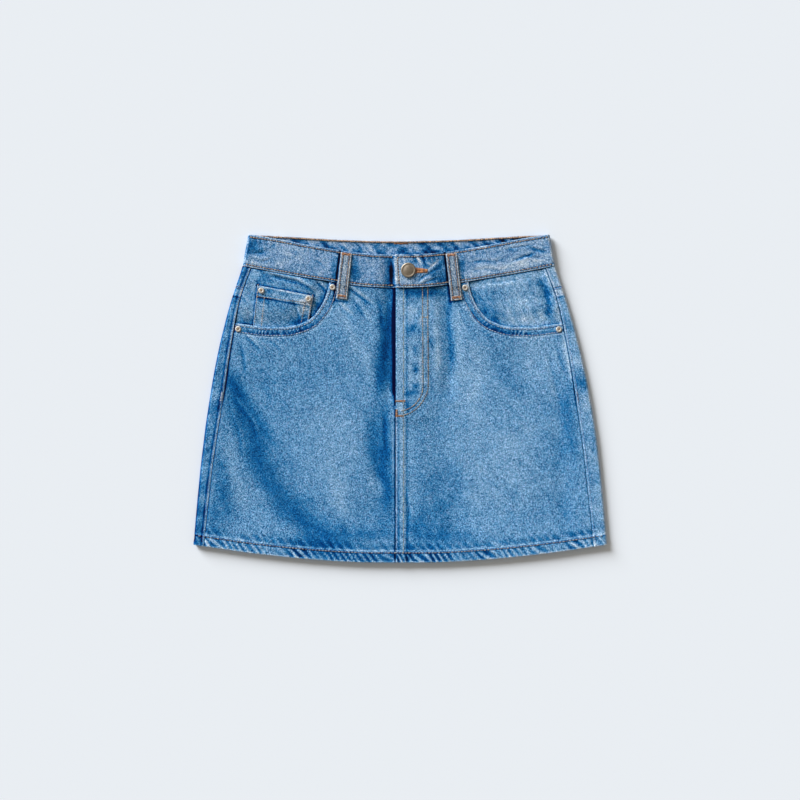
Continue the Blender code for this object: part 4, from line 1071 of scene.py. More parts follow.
def backLook(face, run, away, topAway, hemmed, seed):
    x, y, z = face[..., 0], face[..., 1], face[..., 2]
    look = blankLook(x)
    addMottle(look, run, y, seed)
    onStrip = 1 - ease(away, 14.0, 20.0)
    # the side seam's pale ridge, its edge stitch and painted shade along the seam itself
    onRight = x < 0
    addRidge(look, away - 1.0, y, seed + 1, 0.9, 0.34 * onRight + 0.14 * ~onRight, 0.1)
    look["wearAndShade"] -= np.where(onRight, 0.40, 0.12) * bell(away - 3.6, 1.2)
    uneven = 0.14 * softNoise(run, y, 12.0, seed + 2) + 0.10 * softNoise(run, y, 4.0, seed + 15)
    look["wearAndShade"] += onStrip * uneven
    # on the picture's right the strip turns away from the lamp and is painted 0.12 lighter, painted light,
    # less at two patches; on the left it darkens towards the bottom
    lower = 0.14 * (1 - ease(y, -5, 35)) + 0.10 * ease(-y, 110, 150)
    patch = 0.34 * bell(y - 20, 16) + 0.3 * bell(y + 149, 3.5)
    look["wearAndShade"] += onStrip * np.where(onRight, -0.02 - lower, 0.12 - patch)
    # centre seam, felled, with two rows
    for k, offset in enumerate(backPanel["seamRows"]):
        addGroove(look, run - offset, y, seed + 3 + k, 0.25, 0.16, 0.2)
    addRidge(look, run - 0.5, y, seed + 5, 0.8, 0.25)
    if hemmed:
        up = y - hemY(np.abs(x))
        addPuckers(look, up, x, seed + 8, 0.2, 10.6, 9.4, 0.3, 0.32, 0.75)
        addRidge(look, up - 13.4, x, seed + 10, 1.0, 0.26, 0.1)
        addRidge(look, up - 0.6, x, seed + 12, 1.0, 0.20)
        addGroove(look, up - frontPanel["hemRow"], x, seed + 11, 0.3, 0.0, 0.6, 1.8, 1.0)
        look["wearAndShade"] += (0.10 + 0.16 * onStrip) * (1 - ease(topAway, 8, 12))
        for k, offset in enumerate(backPanel["seamRows"]):
            addGroove(look, topAway - offset, run, seed + 13 + k, 0.25, 0.14, 0.2)
        look["wearAndShade"] -= 0.5 * bell(topAway, 1.1) + 0.5 * bell(topAway - 11.6, 1.5)
    else:
        look["wearAndShade"] -= 0.3 * bell(topAway, 0.9)
        # painted light on the strip on the picture's right, which turns away from the lamp
        look["wearAndShade"] += 0.12 * onStrip * ~onRight
    # what lies on the floor keeps no relief, so that the skirt still rests flat
    under = 1 - ease(z, 0.4, 2.0)
    look["relief"] *= 1 - under
    return look


def makeBack(name, node, side, shares, lines, gaps, hemmed, seed):
    face, normal, thick, run = backGrid(side, shares, *lines, *gaps)
    away = run[:, -1:] - run
    topAway = face[:1, :, 1] - face[..., 1]
    lowAway = face[..., 1] - face[-1:, :, 1]
    look = backLook(face, run, away, topAway, hemmed, seed)
    edgeAway = np.minimum.reduce([topAway, lowAway, away, run])
    grain = (run, face[..., 1])
    piece = clothWall(name, node, face, normal, thick, look, grain, edgeAway, denimPanel, paintedSideLight=0.5)
    sheetArea(face)


yokeRows = spread(1.0, 0.036, 0.006, 0.006)
lowerRows = 262.0 + spread(18.0, 1.2, 0, 0.3)[1:]
panelRows = np.concatenate([spread(262.0, backPanel["rowStep"], 0.4), lowerRows]) / 280.0
yokeLines = (backSeamY, frontSeamY, yokeY)
panelLines = (yokeY, yokeY, hemY)
for side, seed in (("right", 120), ("left", 160)):
    yoke = (side, yokeRows, yokeLines, (halfGap, halfGap), False)
    panel = (side, panelRows, panelLines, (halfGap, 0.0), True)
    makeBack(f"back_yoke_{side}", f"yoke_{side}", *yoke, seed)
    makeBack(f"back_panel_{side}", f"back_{side}", *panel, seed + 20)
print("back panels made")

# Pocket facings and coin pocket


def patchGrid(bottom, top, left, right):
    # a grid between four edge lines, with even steps between opposite edges
    n, m = len(bottom), len(left)
    u = np.linspace(0, 1, n)[None, :, None]
    v = np.linspace(0, 1, m)[:, None, None]
    ruled = (1 - v) * bottom[None] + v * top[None] + (1 - u) * left[:, None] + u * right[:, None]
    corners = (1 - u) * (1 - v) * bottom[0] + u * (1 - v) * bottom[-1]
    return ruled - (corners + (1 - u) * v * top[0] + u * v * top[-1])


facing = {
    "under": 8.0,  # how far it runs on under the front panel
    "across": 125,
    "down": 75,
    "rightTones": (210, 0.16, 0.50, 1.0),  # seed, pale seam, painted shade under the waist seam, painted shade by the pocket edge
    "leftTones": (230, 0.5, 0.30, 0.5),
    "rightCreases": (  # photo pixels, half width, depth, dark (painted shade in the trough), pale, which side is pale
        (((258, 272), (276, 277), (298, 282), (311, 290), (319, 301)), 2.2, 1.2, 0.55, 0.4),
        (((315, 281), (321, 286), (328, 294)), 1.8, 0.9, 0.5, 0.45),
        (((259, 275), (257, 290), (255, 310)), 2, 0.3, 0.12, 0.08),
        (((247, 318), (254, 322), (262, 323)), 2.5, 0.4, 0.2),
    ),
    "leftCreases": (
        (((541, 278), (546, 291), (550, 304), (549, 322)), 3.8, 0.7, 0.26, 0.06),
        (((478, 300), (490, 318), (510, 325)), 3.2, 0.7, 0.26, 0.12),
        (((484, 284), (500, 282), (520, 279)), 2.2, 0.4, 0.18, 0.12, -1),
    ),
    "rightFades": (  # x, y, half length, half width, turn, amount
        (-172, 112, 24, 7, 80, 0.1), (-135, 120, 40, 22, -10, -0.12), (-88, 112, 16, 8, 70, -0.22),
        (-132, 139, 22, 3, -10, 0.12), (-158, 138, 12, 5, -10, -0.3), (-98, 114, 10, 4, 65, 0.3),
    ),
    "leftFades": (
        (132, 118, 30, 16, 140, 0.16), (127, 138, 46, 7, 10, 0.36), (102, 112, 20, 9, 125, -0.14),
        (96, 132, 14, 4, 5, 0.16), (112, 99, 12, 5, 150, -0.2), (172, 118, 24, 5, 103, -0.16),
        (112, 131, 16, 10, -30, -0.2), (150, 88, 30, 8, 0, 0.24), (180, 120, 10, 4, 100, -0.18),
        (174, 100, 10, 5, 100, -0.3),
    ),
}


def facingLines(side):
    tangent = np.gradient(pocketPath, axis=0)
    normal = np.stack([-tangent[:, 1], tangent[:, 0]], 1) / np.linalg.norm(tangent, axis=1)[:, None]
    hidden = pocketPath - facing["under"] * normal
    if hidden[0, 0] > pocketPath[0, 0]:
        hidden = pocketPath + facing["under"] * normal
    hidden[0, 1] = frontSeamY(hidden[0, 0]) - halfGap
    hidden = hidden[hidden[:, 1] <= hidden[0, 1] + 1e-6]
    lowY = hidden[-1, 1]
    hidden[-1, 0] = abs(seamX(lowY, side)) - halfGap
    hidden = hidden[(hidden[:, 0] < hidden[-1, 0] - 4) | (hidden[:, 1] == lowY)]
    bend = int(np.argmin(hidden[:, 0] + hidden[:, 1]))
    corner = abs(seamX(frontSeamY(171.0), side)) - halfGap
    levels = np.linspace(lowY, frontSeamY(corner) - halfGap, 40)
    sideEdge = np.stack([np.abs(seamX(levels, side)) - halfGap, levels], 1)
    out = np.linspace(hidden[0, 0], sideEdge[-1, 0], 40)
    waist = np.stack([out, frontSeamY(out) - halfGap], 1)
    return hidden[bend:], waist, hidden[: bend + 1][::-1], sideEdge


def makeFacing(side):
    counts = [facing[key] for key in ("across", "across", "down", "down")]
    grid = patchGrid(*(resample(line, count) for line, count in zip(facingLines(side), counts)))
    x, y = sign[side] * grid[..., 0], grid[..., 1]
    seed, seamPale, waistSeamShade, pocketEdgeShade = facing[side + "Tones"]
    look = blankLook(x)
    look["wearAndShade"] += 0.06
    addMottle(look, x, y, seed)
    addStreaks(look, x, y, seed + 300, 2.0)
    addFades(look, x, y, facing[side + "Fades"], seed + 9)
    addCreases(look, x, y, facing[side + "Creases"])
    edge = toPocketEdge(x, y)
    seamAway = np.abs(x - seamX(y, side))
    addRidge(look, seamAway - 2.0, y, seed + 4, 0.9, seamPale)
    # painted shade along the side seam
    look["wearAndShade"] -= 0.7 * bell(seamAway, 1.4)
    below = frontSeamY(np.abs(x)) - y
    # painted shade under the waistband
    look["wearAndShade"] -= waistSeamShade * bell(below, 1.2) + 0.10 * bell(below, 6.0)
    # painted shade on the facing beside the pocket's edge
    look["wearAndShade"] -= pocketEdgeShade * (0.22 * bell(edge, 5.0) + 0.5 * bell(edge, 1.3))
    if side == "right":  # the coin pocket's edges throw a shadow
        corners = coinPocket["corners"]
        for a, b, wide, dark in ((0, 3, 1.7, 0.55), (1, 2, 1.8, 0.30), (0, 1, 1.9, 0.62)):
            look["wearAndShade"] -= dark * bell(nearPath(x, y, (corners[a], corners[b]))[0], wide)
    look["relief"] *= ease(edge, 2.0, 8.0) * (np.abs(x) > outline["pocketEdge"][0][0]) * (y > 80)
    face = np.stack([x, y, facingTop(x, y, side)], 2)
    r, c = np.indices(x.shape)
    edgeAway = np.minimum.reduce([r, r[-1, 0] - r, c, c[0, -1] - c]) * 0.9
    names = (f"hip_piece_{side}", f"pocket_facing_{side}")
    shape = (face, upright(face), np.full(x.shape, cloth["thick"]))
    piece = clothWall(*names, *shape, look, (x, y), edgeAway, denimPanel)
    min(sheetArea(face), 0.118 * 0.076)


def makeCoinPocket():
    u = spread(1.0, 0.0125, 0.004, 0.004)[None, :]
    v = spread(1.0, 0.0175, 0.006, 0.006)[:, None]
    x, y = coinPoint(u, v)
    below = coinBelow(x, y)
    leftAway = u * coinPocket["wide"] + 0 * v
    rightAway = (1 - u) * coinPocket["wide"] + 0 * v
    lowAway = (1 - v) * coinPocket["long"] + 0 * u
    look = blankLook(x)
    addMottle(look, x, y, 251)
    addStreaks(look, x, y, 551, 1.2)
    addFades(look, x, y, coinPocket["fades"], 255)
    addRidge(look, below - 0.9, x, 261, 1.0, 0.60)
    addRidge(look, leftAway - 0.9, y, 262, 0.9, 0.20)
    addRidge(look, rightAway - 1.0, y, 263, 1.1, 0.50)
    deep = coinPocket["bandDeep"]
    addRidge(look, below - deep + 0.6, x, 264, 0.8, 0.22)
    look["wearAndShade"] -= 0.62 * bell(below - deep - 1.0, 1.1)
    addGroove(look, below - deep + 2.4, x, 265, 0.2, 0.10, 0.20)
    for k, (away, offset) in enumerate(((leftAway, 9.8), (rightAway, 8.4))):
        ragged = 1 + 0.4 * softNoise(y, 0 * y, 4.0, 266 + k)
        look["wearAndShade"] += 0.20 * ease(below, deep, deep + 2) * bell(away - offset, 1.4) * ragged
    addPuckers(look, rightAway, y, 268, 1.2, 8.0, 5.0, 0.12, 0.14, 0.4)
    addPuckers(look, leftAway, y, 269, 1.2, 9.0, 6.0, 0.10, 0.10, 0.4)
    addCreases(look, x, y, coinPocket["creases"])
    face = np.stack([x, y, coinTop(x, y)], 2)
    edgeAway = np.minimum.reduce([below, leftAway, rightAway, lowAway])
    underPanel = ((y < 84.5) | (toPocketEdge(x, y) < 2.0)).astype(float)
    look["relief"] *= 1 - underPanel
    thick = coinTop(x, y) - facingTop(x, y, "right") - cloth["seamGap"]
    shape = (face, upright(face), thick)
    piece = clothWall("small_pocket", "coin_pocket", *shape, look, (x, y), edgeAway, denimPanel)
    sheetArea(face)


for side in sides:
    makeFacing(side)
makeCoinPocket()
print("pocket pieces made")

# Waistband

button = {"x": 9.3, "y": 148.9, "radius": 8.7, "high": 2.6, "shank": 2.0}
waistband = {
    "deep": outline["frontTop"][0][1] - outline["frontSeam"][0][1],
    "frontFades": (  # x, distance up from the seam, half length, half width, turn, amount; the dark ones beside the belt loops and left of the tab are painted shadow
        (-170, 27, 13, 8, 8, -0.5), (-178, 16, 9, 7, 0, -0.44), (-170, 6, 12, 6, 0, 0.12),
        (-181, 14, 4, 16, 0, -0.3), (150, 17, 14, 3, 10, -0.2), (-120, 16, 26, 9, 15, 0.03),
        (-75, 18, 5, 19, 0, -0.2), (-52, 14, 5.5, 19, 0, -0.26), (-27, 20, 12, 10, 0, -0.04),
        (-10.2, 16, 2.8, 14, 0, -0.95), (-13.5, 17, 5, 19, 0, -0.26), (2, 10, 8, 12, 0, 0.14),
        (4, 30, 8, 6, 0, 0.1), (16, 30, 5, 4, 0, -0.26), (30, 12, 14, 6, 0, -0.16),
        (36, 30, 12, 6, 20, -0.14), (47, 18, 8, 19, 0, -0.14), (12, 6, 9, 4, 0, 0.14),
        (73, 18, 4, 19, 0, -0.26), (54, 6, 5, 8, 0, -0.3), (95, 9, 24, 6, 6, 0.2),
        (138, 9, 30, 6, 4, 0.2), (120, 26, 46, 5, 0, -0.08), (150, 34, 30, 4, 0, 0.14),
    ),
    "creases": (  # photo pixels, half width, depth, dark (painted shade in the trough), pale, which side is pale
        # the first two: painted shadow along the left side of each belt loop
        (((344.6, 215), (341.4, 240), (339.4, 256), (337.3, 272), (333, 310)), 1.3, 0.3, 1.2),
        (((440.6, 215), (443.2, 240), (445, 256), (446.8, 272), (451, 310)), 1.3, 0.3, 1.2),
        (((412, 250), (417, 257), (421, 265), (422, 270)), 1.5, 0.2, -0.5),
        (((418, 249), (423, 258), (426, 266), (427, 270)), 2.2, 0.2, 0.45),
        (((424, 275), (430, 268), (437, 262), (443, 257)), 1.4, 0.2, -0.55),
        (((426, 279), (434, 272), (441, 266), (446, 261)), 2.2, 0.2, 0.24),
        (((408, 248), (411, 254), (413, 260)), 1.8, 0.2, 0.45),
        (((314, 258), (320, 263), (326, 270)), 1.6, 0.5, 0.26, 0.16),
        (((414, 258), (420, 263), (426, 268)), 1.1, 0.5, 0.2, 0.34),
        (((422, 262), (428, 266), (434, 268)), 1.1, 0.4, 0.16, 0.26),
        (((415, 284), (421, 279), (430, 273), (440, 266)), 1.5, 0.6, 0.22, 0.3, -1),
        (((418, 286), (430, 281), (444, 276)), 1.6, 0.5, 0.22, 0.2),
        (((464, 264), (480, 261), (496, 262), (512, 257)), 2, 0.3, 0.26, 0.14),
        (((466, 272), (486, 269), (500, 271), (520, 265)), 1.8, 0.3, 0.24, 0.12),
        (((527, 247), (537, 250), (549, 253)), 1.9, 0.6, 0.46, 0.14),
        (((510, 262), (524, 257), (539, 252)), 1.7, 0.6, 0.44, 0.14, -1),
        (((523, 256), (534, 258), (548, 259)), 1.4, 0.4, 0.2, 0.2, -1),
        (((500, 251), (520, 247), (540, 244)), 1.4, 0.4, 0.16, 0.1),
        (((250, 250), (258, 254), (270, 250)), 2.4, 0.6, 0.26),
        (((251, 258), (262, 262), (276, 258)), 1.6, 0.4, 0.14, 0.12),
    ),
}


def bandEnd(up):
    # x of the tab's end, with its two round corners
    share = up / waistband["deep"]
    x = band["tabLow"] + (band["tabTop"] - band["tabLow"]) * share
    r = band["corner"]
    into = np.clip(r - np.minimum(up, waistband["deep"] - up), 0, r)
    return x + r - np.sqrt(np.maximum(r * r - into * into, 0))


def bandY(x, share):
    return levelY(np.abs(x), share, frontSeamY, frontTopY)


def bandSection(share):
    # a row round the skirt: from the lower end under the tab to the tab itself
    ends = zip(outline["frontSeam"][-1], outline["frontTop"][-1])
    corner, cornerY = ((1 - share) * low + share * high for low, high in ends)
    reach = corner - band["foldIn"]
    face, inner, normals, part = [], [], [], []

    def level(xs, y, z, way, number):
        face.append(np.stack([xs, y, z], 1))
        inner.append(np.stack([xs, y, z - way * band["thick"]], 1))
        normals.append(np.tile((0.0, 0.0, way), (len(xs), 1)))
        part.append(np.full(len(xs), number))

    def front(xs, side, number):
        y = bandY(xs, share)
        level(xs, y, bandTop(xs, y, side), 1.0, number)

    def fold(side):
        s = sign[side]
        high = float(bandTop(np.array(s * corner), np.array(cornerY), side))
        radius = (high - cloth["backLift"]) / 2
        middle = cloth["backLift"] + radius
        turn = np.radians(np.linspace(90, -90, 15)[1:-1])
        turn = turn if side == "right" else turn[::-1]
        hollow = max(radius - band["thick"], 0.15)
        for size, into in ((radius, face), (hollow, inner)):
            across = s * (corner - radius + size * np.cos(turn))
            into.append(np.stack([across, 0 * turn + cornerY, middle + size * np.sin(turn)], 1))
        normals.append(np.stack([s * np.cos(turn), 0 * turn, np.sin(turn)], 1))
        part.append(np.full(len(turn), 1))

    end = float(bandEnd(share * waistband["deep"]))
    t = np.linspace(0, 1, 205)
    front(band["underEnd"] + t * (-reach - band["underEnd"]), "right", 0)
    fold("right")
    xs = np.linspace(-reach, reach, 156)
    level(xs, levelY(np.abs(xs), share, backSeamY, backTopY), 0 * xs + cloth["backLift"], -1.0, 2)
    fold("left")
    t = evened(spread(1.0, 0.0056, 0, 0.0014, 0.02), 196)
    front(reach + t * (end - reach), "left", 3)
    return [np.concatenate(rows) for rows in (face, inner, normals, part)]


def bandLook(x, up, run, part):
    look = blankLook(x)
    deep = waistband["deep"]
    addMottle(look, run, up, 301, 1.1)
    for size, share, step in ((9.0, 0.08, 0), (4.4, 0.13, 1), (2.2, 0.13, 2)):
        look["wearAndShade"] += 0.7 * share * softNoise(0.55 * run + 0.3 * up, up - 0.25 * run, size, 371 + step)
    addFades(look, x + 1e4 * (part == 2), up, waistband["frontFades"], 311)
    # both edges: a pale rubbed fold, a row of stitches, and puckers beside it
    for k, away in enumerate((up, deep - up)):
        addRidge(look, away - 0.5, run, 331 + k, 0.8, 0.16)
        addGroove(look, away - band["stitchIn"], run, 335 + k, 0.35, 0.04, 0.54, 2.2, 1.15)
        addPuckers(look, away, run, 341 + k, 3.2, 9.5, 7.0, 0.15, 0.12, 0.25, 4.0)
    look["wearAndShade"] -= 0.10 * bell(up, 0.4)
    look["wearAndShade"] += 0.32 * (part == 1)
    end = (x - bandEnd(up)) + 1e3 * (part != 3)
    addRidge(look, end - 1.8, up, 351, 1.8, 0.30, 0.25)
    addGroove(look, end - band["endStitchIn"], up, 352, 0.3, 0.08, 0.3)
    # the inside of the back half, which shows over the front
    lean = run + 0.9 * up
    streak = 0.42 * softNoise(lean / 7.0, up / 30.0, 1.0, 361)
    streak = streak + 0.34 * softNoise(lean / 3.2, up / 14.0, 1.0, 362)
    look["insideWear"] = -0.08 + 0.3 * softNoise(run, up, 4.0, 363) * (part == 2) + streak
    # painted shade on the inside just above the front's top edge, where the front lies over it
    frontEdge = backTopY(np.abs(x)) - (deep - up) - frontTopY(np.abs(x))
    look["insideWear"] -= 0.22 * bell(np.maximum(frontEdge, 0), 3.4) * (part == 2)
    return look


def makeWaistband():
    deep = waistband["deep"]
    shares = spread(deep, 0.95, 0.3, 0.3) / deep
    shares[0] = halfGap / deep
    rows = [bandSection(float(s)) for s in shares]
    face, inner, normal, part = [np.array([row[k] for row in rows]) for k in range(4)]
    run = np.tile(runAlong(face[len(shares) // 2]), (len(shares), 1))
    up = np.repeat(shares[:, None] * deep, face.shape[1], 1)
    x, y = face[..., 0], face[..., 1]
    look = bandLook(x, up, run, part)
    creased = blankLook(x)
    slit = ((button["x"], button["y"]), (button["x"] + 21.0, button["y"] - 0.6))
    away, along = nearPath(x, y, slit)
    onSlit = bell(away, 0.7) * (along > 0.5) * (along < 20.5)
    # the buttonhole's slit sinks and is painted dark, painted shade in the slit
    creased["relief"] -= 0.9 * onSlit
    creased["wearAndShade"] -= 0.9 * onSlit
    addCreases(creased, x, y, waistband["creases"])
    underTab = (part == 0) & (x > -9)
    for key in ("wearAndShade", "relief"):
        look[key] += creased[key] * (part != 2) * ~underTab
    look["relief"] = look["relief"] * ~(underTab | (part == 2))
    endAway = np.minimum(run, np.abs(run - run[0, -1]))
    edgeAway = np.maximum(np.minimum.reduce([up, deep - up, endAway]), 0)
    shape = (face, normal, np.full(x.shape, band["thick"]))
    grain = (run, up)
    trim = (denimBand, "denim_trim", inner, 0.18, 0.0)
    piece = clothWall("waistband_strip", "waistband", *shape, look, grain, edgeAway, *trim)


makeWaistband()
print("waistband made")

# Belt loops

beltLoop = {
    "wide": 12.6,
    "thick": 1.0,
    "front": {
        "right": ((-60.7, 169.2), (-66.5, 116.0)),
        "left": ((60.6, 168.2), (66.9, 114.4)),
    },
    "back": {"right": -143.0, "centre": 0.0, "left": 143.0},
    "backBelow": 16.0,
    "rows": (-3.7, 3.7),
    "tackIn": (1.7, 3.4),  # bar tacks, from the top end and from the bottom end
}


def loopLook(u, v, long, seed):
    look = blankLook(u)
    addMottle(look, u, v, seed)
    half = beltLoop["wide"] / 2
    addRidge(look, half - np.abs(u) - 1.0, v, seed + 1, 0.9, 0.30, 0.15)
    for k, row in enumerate(beltLoop["rows"]):
        addGroove(look, u - row, v, seed + 2 + k, 0.25, 0.0, 0.7, 1.4, 1.1)
    look["wearAndShade"] += 0.10 * softNoise(u, v, 3.0, seed + 9) - 0.04 * bell(u, 2.0)
    for k, away in enumerate((v, long - v)):
        addRidge(look, away - 0.6, u, seed + 5 + k, 1.0, 0.30)
    return look


def frontLoopPlace(side):
    # heights along a loop: over the waistband, then down on the panel
    top, bottom = (np.array(p) for p in beltLoop["front"][side])
    long = float(np.linalg.norm(bottom - top))
    along = (bottom - top) / long
    across = np.array((-along[1], along[0]))
    stations = np.linspace(0, 1, 15)
    low = []
    for t in stations:
        near = []
        for dt in (-0.06, 0, 0.06):
            for dx in (-beltLoop["wide"] / 2, 0.0, beltLoop["wide"] / 2):
                px, py = top + (bottom - top) * min(1, max(0, t + dt)) + across * dx
                above = py > frontSeamY(abs(px)) - 1.0
                near.append(float((bandTop if above else panelTop)(np.array(px), np.array(py), side)))
        low.append(max(near) + cloth["seamGap"])

    def place(u, v):
        flat = top + along * v[..., None] + across * u[..., None]
        t = v / long
        z = np.interp(t, stations, low) + beltLoop["thick"] + 0.4 * np.sin(np.pi * np.clip(t, 0, 1))
        return np.concatenate([flat, z[..., None]], -1)

    return place, long


def backLoopEnds(middle):
    out = abs(middle)
    return float(backTopY(out)), float(backSeamY(out)) - beltLoop["backBelow"] + 1.0


def loopGrid(long, across, down, fine):
    half = beltLoop["wide"] / 2
    u = (spread(beltLoop["wide"], across, fine, fine) - half)[None, :]
    u, v = np.broadcast_arrays(u, spread(long, down, fine, fine)[:, None])
    return u, v, np.maximum(np.minimum.reduce([half - np.abs(u), v, long - v]), 0)


def makeLoop(name, shape, look, grain, edgeAway):
    trim = (denimLoop, "denim_trim")
    piece = clothWall(f"loop_{name}", f"belt_loop_{name}", *shape, look, grain, edgeAway, *trim)


loopPlaces = {side: frontLoopPlace(side) for side in sides}
for side, seed in (("right", 401), ("left", 421)):
    place, long = loopPlaces[side]
    u, v, edgeAway = loopGrid(long, 0.55, 0.7, 0.25)
    face = place(u, v)
    look = loopLook(u, v, long, seed)
    shape = (face, upright(face), beltLoop["thick"] + 0.4 * np.sin(np.pi * v / long))
    makeLoop(f"front_{side}", shape, look, (u, v), edgeAway)
for name, middle in beltLoop["back"].items():
    topY, lowY = backLoopEnds(middle)
    long = topY - lowY
    u, v, edgeAway = loopGrid(long, 0.8, 1.0, 0.3)
    face = np.stack([middle + u, topY - v, 0 * u], 2)
    look = loopLook(u, v, long, 441)
    look["relief"] = np.minimum(look["relief"], 0)
    shape = (face, upright(face, -1.0), np.full(u.shape, beltLoop["thick"]))
    makeLoop(f"back_{name}", shape, look, (u, v), edgeAway)
print("belt loops made")

# Sewing


def stitchTree():
    # lays one bent thread on every point of a path, turned along it or across it
    tree = bpy.data.node_groups.new("sewn_thread", "GeometryNodeTree")
    for label, kind, value in (
        ("Geometry", "Geometry", None),
        ("stitch pitch", "Float", 0.0032),
        ("stitch length", "Float", 0.0026),
        ("thread width", "Float", 0.0008),
        ("turn", "Float", 0.0),
        ("sway", "Float", 0.05),
        ("seed", "Int", 1),
        ("thread", "Material", None),
    ):
        socket = tree.interface.new_socket(label, in_out="INPUT", socket_type="NodeSocket" + kind)
        if value is not None:
            socket.default_value = value
    tree.interface.new_socket("Geometry", in_out="OUTPUT", socket_type="NodeSocketGeometry")
    source = addNode(tree, "NodeGroupInput").outputs
    length, width, sway = source["stitch length"], source["thread width"], source["sway"]
    curve = addNode(tree, "GeometryNodeMeshToCurve", {"Mesh": source["Geometry"]})
    along = {"Curve": curve, "Length": source["stitch pitch"]}
    places = addNode(tree, "GeometryNodeResampleCurve", along, mode="LENGTH")
    half, less, deep, high, thin, span = (
        addNode(tree, "ShaderNodeMath", factors, operation="MULTIPLY")
        for factors in zip((length, length, width, width, width, sway), (0.5, -0.5, -0.35, 0.8, 0.5, -1.0))
    )
    start = addNode(tree, "ShaderNodeCombineXYZ", {"X": less, "Z": deep})
    middle = addNode(tree, "ShaderNodeCombineXYZ", {"Z": high})
    end = addNode(tree, "ShaderNodeCombineXYZ", {"X": half, "Z": deep})
    bend = {"Resolution": 4, "Start": start, "Middle": middle, "End": end}
    arch = addNode(tree, "GeometryNodeCurveQuadraticBezier", bend)
    ring = addNode(tree, "GeometryNodeCurvePrimitiveCircle", {"Resolution": 6, "Radius": thin})
    tube = {"Curve": arch, "Profile Curve": ring, "Fill Caps": True}
    thread = addNode(tree, "GeometryNodeCurveToMesh", tube)
    named = {"Name": "outward"}
    outward = addNode(tree, "GeometryNodeInputNamedAttribute", named, data_type="FLOAT_VECTOR")
    axes = {"Primary Axis": addNode(tree, "GeometryNodeInputTangent"), "Secondary Axis": outward}
    upward = addNode(tree, "FunctionNodeAxesToRotation", axes, primary_axis="X", secondary_axis="Z")
    # Random Value has sockets for each kind of number, so the float ones are found by their type
    swing = addNode(tree, "FunctionNodeRandomValue", {"Seed": source["seed"]}, data_type="FLOAT")
    least, most = [s for s in swing.inputs if s.type == "VALUE"][:2]
    tree.links.new(span.outputs[0], least)
    tree.links.new(sway, most)
    swayed = [s for s in swing.outputs if s.type == "VALUE"][0]
    total = addNode(tree, "ShaderNodeMath", (source["turn"], swayed), operation="ADD")
    spin = addNode(tree, "ShaderNodeCombineXYZ", {"Z": total})
    asTurn = addNode(tree, "FunctionNodeEulerToRotation", {"Euler": spin})
    both = {"Rotation": upward, "Rotate By": asTurn}
    turned = addNode(tree, "FunctionNodeRotateRotation", both, rotation_space="LOCAL")
    laid = {"Points": places, "Instance": thread, "Rotation": turned}
    stitches = addNode(tree, "GeometryNodeInstanceOnPoints", laid)
    real = addNode(tree, "GeometryNodeRealizeInstances", {"Geometry": stitches})
    smooth = addNode(tree, "GeometryNodeSetShadeSmooth", {"Geometry": real})
    coloured = {"Geometry": smooth, "Material": source["thread"]}
    addNode(tree, "NodeGroupOutput", (addNode(tree, "GeometryNodeSetMaterial", coloured),))
    return tree


sewnThread = stitchTree()
threadInputs = [item for item in sewnThread.interface.items_tree if item.in_out == "INPUT"]
threadId = {item.name: item.identifier for item in threadInputs}


def sew(name, paths, material, seed, pitch=3.3, length=2.1, width=1.15, turn=0.0, sway=0.08):
    # paths: lists of points with the direction that is outwards there
    points, normals, edges = [], [], []
    for path, outward in paths:
        start = len(points)
        path = np.array(path, float)
        path[:, 0] = skewed(path[:, 0], path[:, 1])
        points += [tuple(p) for p in path * mm]
        normals += [tuple(n) for n in np.broadcast_to(outward, (len(path), 3))]
        edges += [(start + k, start + k + 1) for k in range(len(path) - 1)]
    mesh = bpy.data.meshes.new(name)
    mesh.from_pydata(points, edges, [])
    made = mesh.attributes.new("outward", "FLOAT_VECTOR", "POINT")
    made.data.foreach_set("vector", np.array(normals, np.float32).ravel())
    piece = addObject(name, mesh)
    layer = piece.modifiers.new("thread", "NODES")
    layer.node_group = sewnThread
    for label, value in (
        ("stitch pitch", pitch * mm),
        ("stitch length", length * mm),
        ("thread width", width * mm),
        ("turn", turn),
        ("sway", sway),
        ("seed", seed),
        ("thread", material),
    ):
        layer[threadId[label]] = value
    view = bpy.context.evaluated_depsgraph_get()
    made = bpy.data.meshes.new_from_object(piece.evaluated_get(view))
    piece.modifiers.clear()
    piece.data = made
    made.name = name
    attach(piece, "root")


up, down = (0.0, 0.0, 1.0), (0.0, 0.0, -1.0)
sunk = 0.12  # how deep a row of stitches lies in its groove
underside = 0.3  # how far in the stitches of the back lie, which leaves them 0.46 mm proud at most


def onSurface(xs, ys, height, outward=up):
    return np.column_stack([xs, ys, height + 0 * xs]), outward


def onPanel(path, side):
    return onSurface(path[:, 0], path[:, 1], panelTop(path[:, 0], path[:, 1], side) - sunk)


def onStrip(xs, ys, side, deep=sunk):
    return onSurface(xs, ys, frontHeight(xs, ys, side) - deep)


def onBack(xs, ys):
    return onSurface(xs, ys, backHeight(xs, ys) + underside, down)


def onBand(xs, upTo, side):
    ys = bandY(xs, upTo / waistband["deep"])
    return onSurface(xs, ys, bandTop(xs, ys, side) - sunk)


